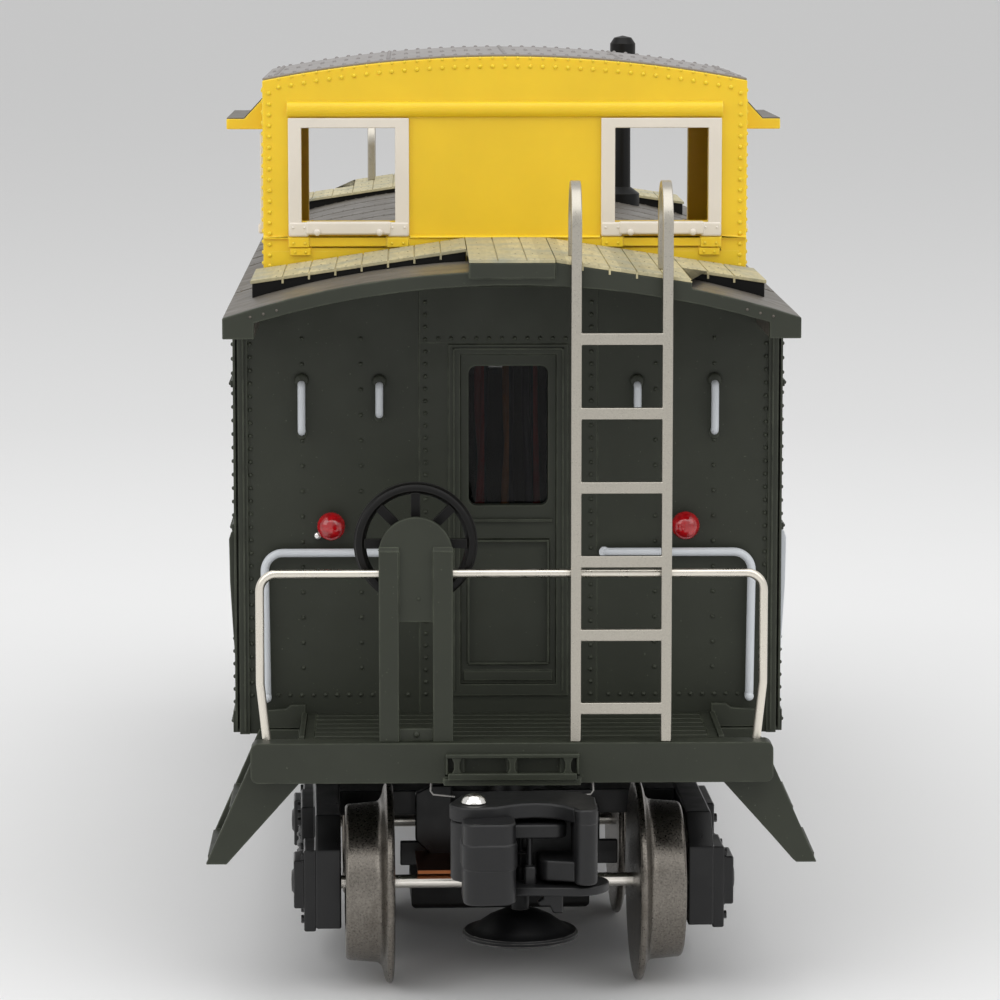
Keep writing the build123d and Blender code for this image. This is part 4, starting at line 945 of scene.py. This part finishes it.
def jaw_casting():
    """Lid with a hollowed front edge, guard arm, back wall, inner lip and shank."""
    casting = Shape()
    lid = arc_points(pin_spot, 2.75, 150, 300, 8)
    lid += [(-3.4, -49.2), (-2.2, -48.3), (-0.8, -47.6), (1.0, -47.3), (2.8, -47.7), (4.1, -48.6),
            (5.2, -50.4)]
    lid += arc_points((6.5, -50.3), 1.3, 180, 350, 5)
    lid += [(7.9, -44.0), (6.6, -41.2), (3.0, -40.2), (-4.0, -40.2), (-7.2, -42.5)]
    casting.prism(lid, 25.7, 27.5, in_xy)
    casting.prism(arc_points((6.45, -50.2), 1.3, 170, 380, 9) + [(7.75, -42.0), (5.2, -42.0)],
                  18.9, 27.0, in_xy)
    casting.block(-6.4, 7.7, -43.2, -40.2, 17.4, 27.0)
    # inner lip with a round end, rod and foot, and the worn block beside the guard arm
    casting.prism([(-1.9, -43.0), (-1.9, -48.2)] + arc_points((3.2, -46.9), 1.3, 270, 360, 5)
                  + [(4.5, -43.0)], 23.6, 25.2, in_xy)
    casting.prism(arc_points((0.3, -47.5), 0.34, 0, 330, 11), 20.0, 23.8, in_xy)
    casting.block(-0.35, 1.05, -48.4, -46.8, 18.2, 20.5)
    casting.prism([(1.3, -46.0)] + arc_points((2.9, -47.6), 1.5, 180, 250, 4)
                  + [(4.6, -49.6), (6.4, -50.2), (6.4, -44.0), (1.3, -44.0)], 18.9, 21.3, in_xy)
    # shank and eye
    casting.block(-2.6, 2.6, -41.0, -33.0, 18.8, 21.2)
    casting.turned([(1.3, -1.2), (2.6, -1.2), (2.6, 1.2), (1.3, 1.2)], (0, -33.0, 20.0),
                   (0, 0, 1), 36)
    return casting


def jaw_shelf():
    """Rounded floor plate of the jaw, with the latch hook hanging under it."""
    shelf = Shape()
    plate = arc_points((5.6, -46.8), 3.7, -100, 75, 12) + [(-5.5, -42.0), (-6.0, -46.0),
                                                          (-1.6, -50.0)]
    shelf.prism(plate, 17.5, 18.5, in_xy)
    hook = [(1.9, 17.6), (1.9, 16.6), (1.2, 16.2), (1.5, 15.7), (2.6, 15.7), (3.0, 14.9),
            (4.1, 14.9), (4.1, 17.6)]
    shelf.prism(hook, -47.4, -46.2, in_xz)
    return shelf


def knuckle_casting():
    """Knuckle: a tall rounded block with a slightly wider band, and its barrel on the pin."""
    knuckle = Shape()
    for grow, z_low, z_high in ((0.0, 17.1, 26.3), (0.16, 21.0, 24.0)):
        outline = arc_points((-5.6, -51.5), 1.7 + grow, 180, 270, 6)
        outline += arc_points((-3.1, -51.5), 1.7 + grow, 270, 360, 6)
        outline += [(-1.4 + grow, -48.6), (-2.4, -47.6), (-7.3 - grow, -47.6)]
        knuckle.prism(outline, z_low, z_high, in_xy)
    knuckle.turned([(0.9, 18.9), (2.6, 18.9), (2.6, 25.7), (0.9, 25.7)], (*pin_spot, 0),
                   (0, 0, 1), 40)
    return knuckle


def bolster_casting():
    """Bolster with its centre plate, transoms and the tongue that carries the coupler."""
    bolster = Shape()
    bolster.block(-20.5, 20.5, -4.0, 4.0, 17.2, 20.2)
    bolster.turned([(2.06, 20.0), (5.0, 20.0), (5.0, 24.3), (2.06, 24.3)], (0, 0, 0), (0, 0, 1), 48)
    bolster.block(-9.0, 11.0, -8.0, 8.0, 17.25, 18.4)
    bolster.block(-13.2, 13.2, -8.0, -7.0, 11.8, 14.7)
    for y in (-8.0, 7.0):
        bolster.block(-9.0, 11.0, y, y + 1.0, 11.8, 18.2)
    bolster.block(-3.2, 3.2, -35.6, -3.5, 16.6, 18.5)
    bolster.turned([(0, 18.4), (1.2, 18.4), (1.2, 21.2), (0, 21.2)], (0, -33.0, 0), (0, 0, 1), 24)
    return bolster


def truck_bracket():
    """Pointed bracket hanging from the transom."""
    outline = [(-11.4, 20.9), (-9.4, 21.9), (-7.0, 21.9), (-7.0, 13.4), (-9.6, 13.4),
               (-11.4, 15.2)]
    return Shape().prism(outline, -9.4, -8.2, in_xz)


for end, place in TRUCKS.items():
    truck = f"{end}_truck_"
    body = f"{end}_truck"
    for which, y in (("outer", -axle_y), ("inner", axle_y)):
        pair = Shape()
        for side in (-1, 1):
            pair.turned(wheel_profile, (0, y, axle_z), (side, 0, 0), 96)
        piece(f"{truck}wheels_{which}_turned", pair.moved(place), "wheel_nickel",
              f"{end}_wheelset_{which}", replaces=(f"{truck}wheels_{which}",), smooth=30)
    piece(f"{truck}springs", springs().moved(place), "truck_black", body)
    piece(f"{truck}bolts", frame_bolts().moved(place), "truck_black", body)

    # coupler: domed pin, jaw casting, knuckle and thrust disc
    coupler = f"{end}_coupler"
    pin = Shape().turned([(0, 1.05), (0.45, 1.0), (0.9, 0.82), (1.25, 0.5), (1.45, 0.05),
                          (1.4, -0.05), (0.8, -0.1), (0.8, -11.2), (0, -11.2)],
                         (*pin_spot, 27.6), (0, 0, 1), 36)
    piece(f"{truck}pin_head", pin.moved(place), "pin_chrome", coupler,
          replaces=(f"{truck}coupler_pin",))
    piece(f"{truck}coupler_casting", jaw_casting().moved(place), "coupler_grey", coupler,
          replaces=(f"{truck}coupler_body",), round_mm=0.32, segments=3)
    piece(f"{truck}coupler_shelf", jaw_shelf().moved(place), "coupler_grey", coupler,
          round_mm=0.2, segments=3)
    piece(f"{truck}knuckle_casting", knuckle_casting().moved(place), "coupler_grey",
          f"{end}_knuckle", replaces=(f"{truck}coupler_knuckle",), round_mm=0.35, segments=3)
    piece(f"{truck}bracket", truck_bracket().moved(place), "truck_black", body, round_mm=0.2)
    disc = Shape().turned([(0, 2.7), (1.0, 2.65), (2.2, 2.4), (3.6, 1.75), (5.0, 0.75),
                           (5.6, 0.3), (6.3, 0.25), (6.5, 0.0), (6.5, -0.35), (6.2, -0.55),
                           (5.6, -0.4), (3.0, 0.6), (1.0, 1.3), (0, 1.4)],
                          disc_spot, (0, 0, 1), 64)
    # its stem, latch block and guide rod
    disc.turned([(0, 8.0), (1.0, 8.0), (1.0, 2.0), (0, 2.0)], disc_spot, (0, 0, 1), 24)
    disc.turned([(0, 9.35), (1.2, 9.35), (1.35, 9.2), (1.35, 7.75), (1.2, 7.6), (0, 7.6)],
                disc_spot, (0, 0, 1), 8)
    disc.turned([(0, 12.1), (0.32, 12.1), (0.35, 9.0), (0, 9.0)], disc_spot, (0, 0, 1), 16)
    piece(f"{truck}armature_disc", disc.moved(place), "armature_black", f"{end}_armature",
          replaces=(f"{truck}coupler_armature",), smooth=35)

    softened(truck + "sideframes", 0.22)
    piece(f"{truck}bolster_casting", bolster_casting().moved(place), "truck_black", body,
          replaces=(f"{truck}bolster",), round_mm=0.15)
    softened(truck + "contact_plate", 0.1)

for node, width in (("body_shell", 0.06), ("roof", 0.1), ("roof_fascias", 0.12),
                    ("cupola_shell", 0.1), ("cupola_roof", 0.1), ("cupola_visors", 0.15),
                    ("roof_walk_cross", 0.05), ("roof_walk_long", 0.05),
                    ("roof_walk_supports", 0.08), ("platform_front", 0.1), ("platform_rear", 0.1),
                    ("steps_front", 0.12), ("steps_rear", 0.12), ("brake_stand_front", 0.1),
                    ("brake_stand_rear", 0.1), ("ladder_front", 0.14), ("ladder_rear", 0.14),
                    ("end_doors", 0.1), ("side_window_frames", 0.1), ("underframe", 0.12)):
    softened(node, width)

# the CAD nodes that show as they are
for node, obj in frame["nodes"].items():
    obj.data.materials.clear()
    obj.data.materials.append(FINISHES[NODE_FINISH[node]])
    obj.data.shade_smooth()
    obj.data.set_sharp_from_angle(angle=radians(38))

# ---- stage, light and camera, in metres ------------------------------------------------------
floor_half = 12.0
floor_mesh = bpy.data.meshes.new("floor")
floor_corners = [(x * floor_half, y * floor_half, 0.0)
                 for x, y in ((-1, -1), (1, -1), (1, 1), (-1, 1))]
floor_mesh.from_pydata(floor_corners, [], [(0, 1, 2, 3)])
floor_mesh.materials.append(floor_finish("floor_paper"))
floor = bpy.data.objects.new("floor", floor_mesh)
scene.collection.objects.link(floor)


def softbox(name, spot, aim, size, power):
    """A square area light looking at a point."""
    light = bpy.data.lights.new(name, "AREA")
    light.shape = "SQUARE"
    light.size = size
    light.energy = power
    obj = bpy.data.objects.new(name, light)
    obj.location = spot
    obj.rotation_euler = (Vector(aim) - Vector(spot)).to_track_quat("-Z", "Y").to_euler()
    scene.collection.objects.link(obj)


middle = (0, 0, 0.06)
softbox("overhead", (0.0, -0.28, 0.9), middle, 1.1, 4.6)
softbox("left", (-1.2, -0.9, 1.0), middle, 1.0, 4.6)
softbox("right", (1.2, -0.9, 1.0), middle, 1.0, 3.6)

world = bpy.data.worlds.new("studio")
world.use_nodes = True
world.node_tree.nodes["Background"].inputs["Color"].default_value = (1, 1, 1, 1)
world.node_tree.nodes["Background"].inputs["Strength"].default_value = 0.74
scene.world = world
scene.view_settings.view_transform = "Standard"

camera_data = bpy.data.cameras.new("camera")
camera_data.sensor_width = 36.0
camera_data.lens = 151.2
camera = bpy.data.objects.new("camera", camera_data)
camera.location = (-0.0116, -0.5775, 0.12303)
camera.rotation_euler = (radians(90 - 7.593), 0.0, radians(-1.2276))
scene.collection.objects.link(camera)
scene.camera = camera
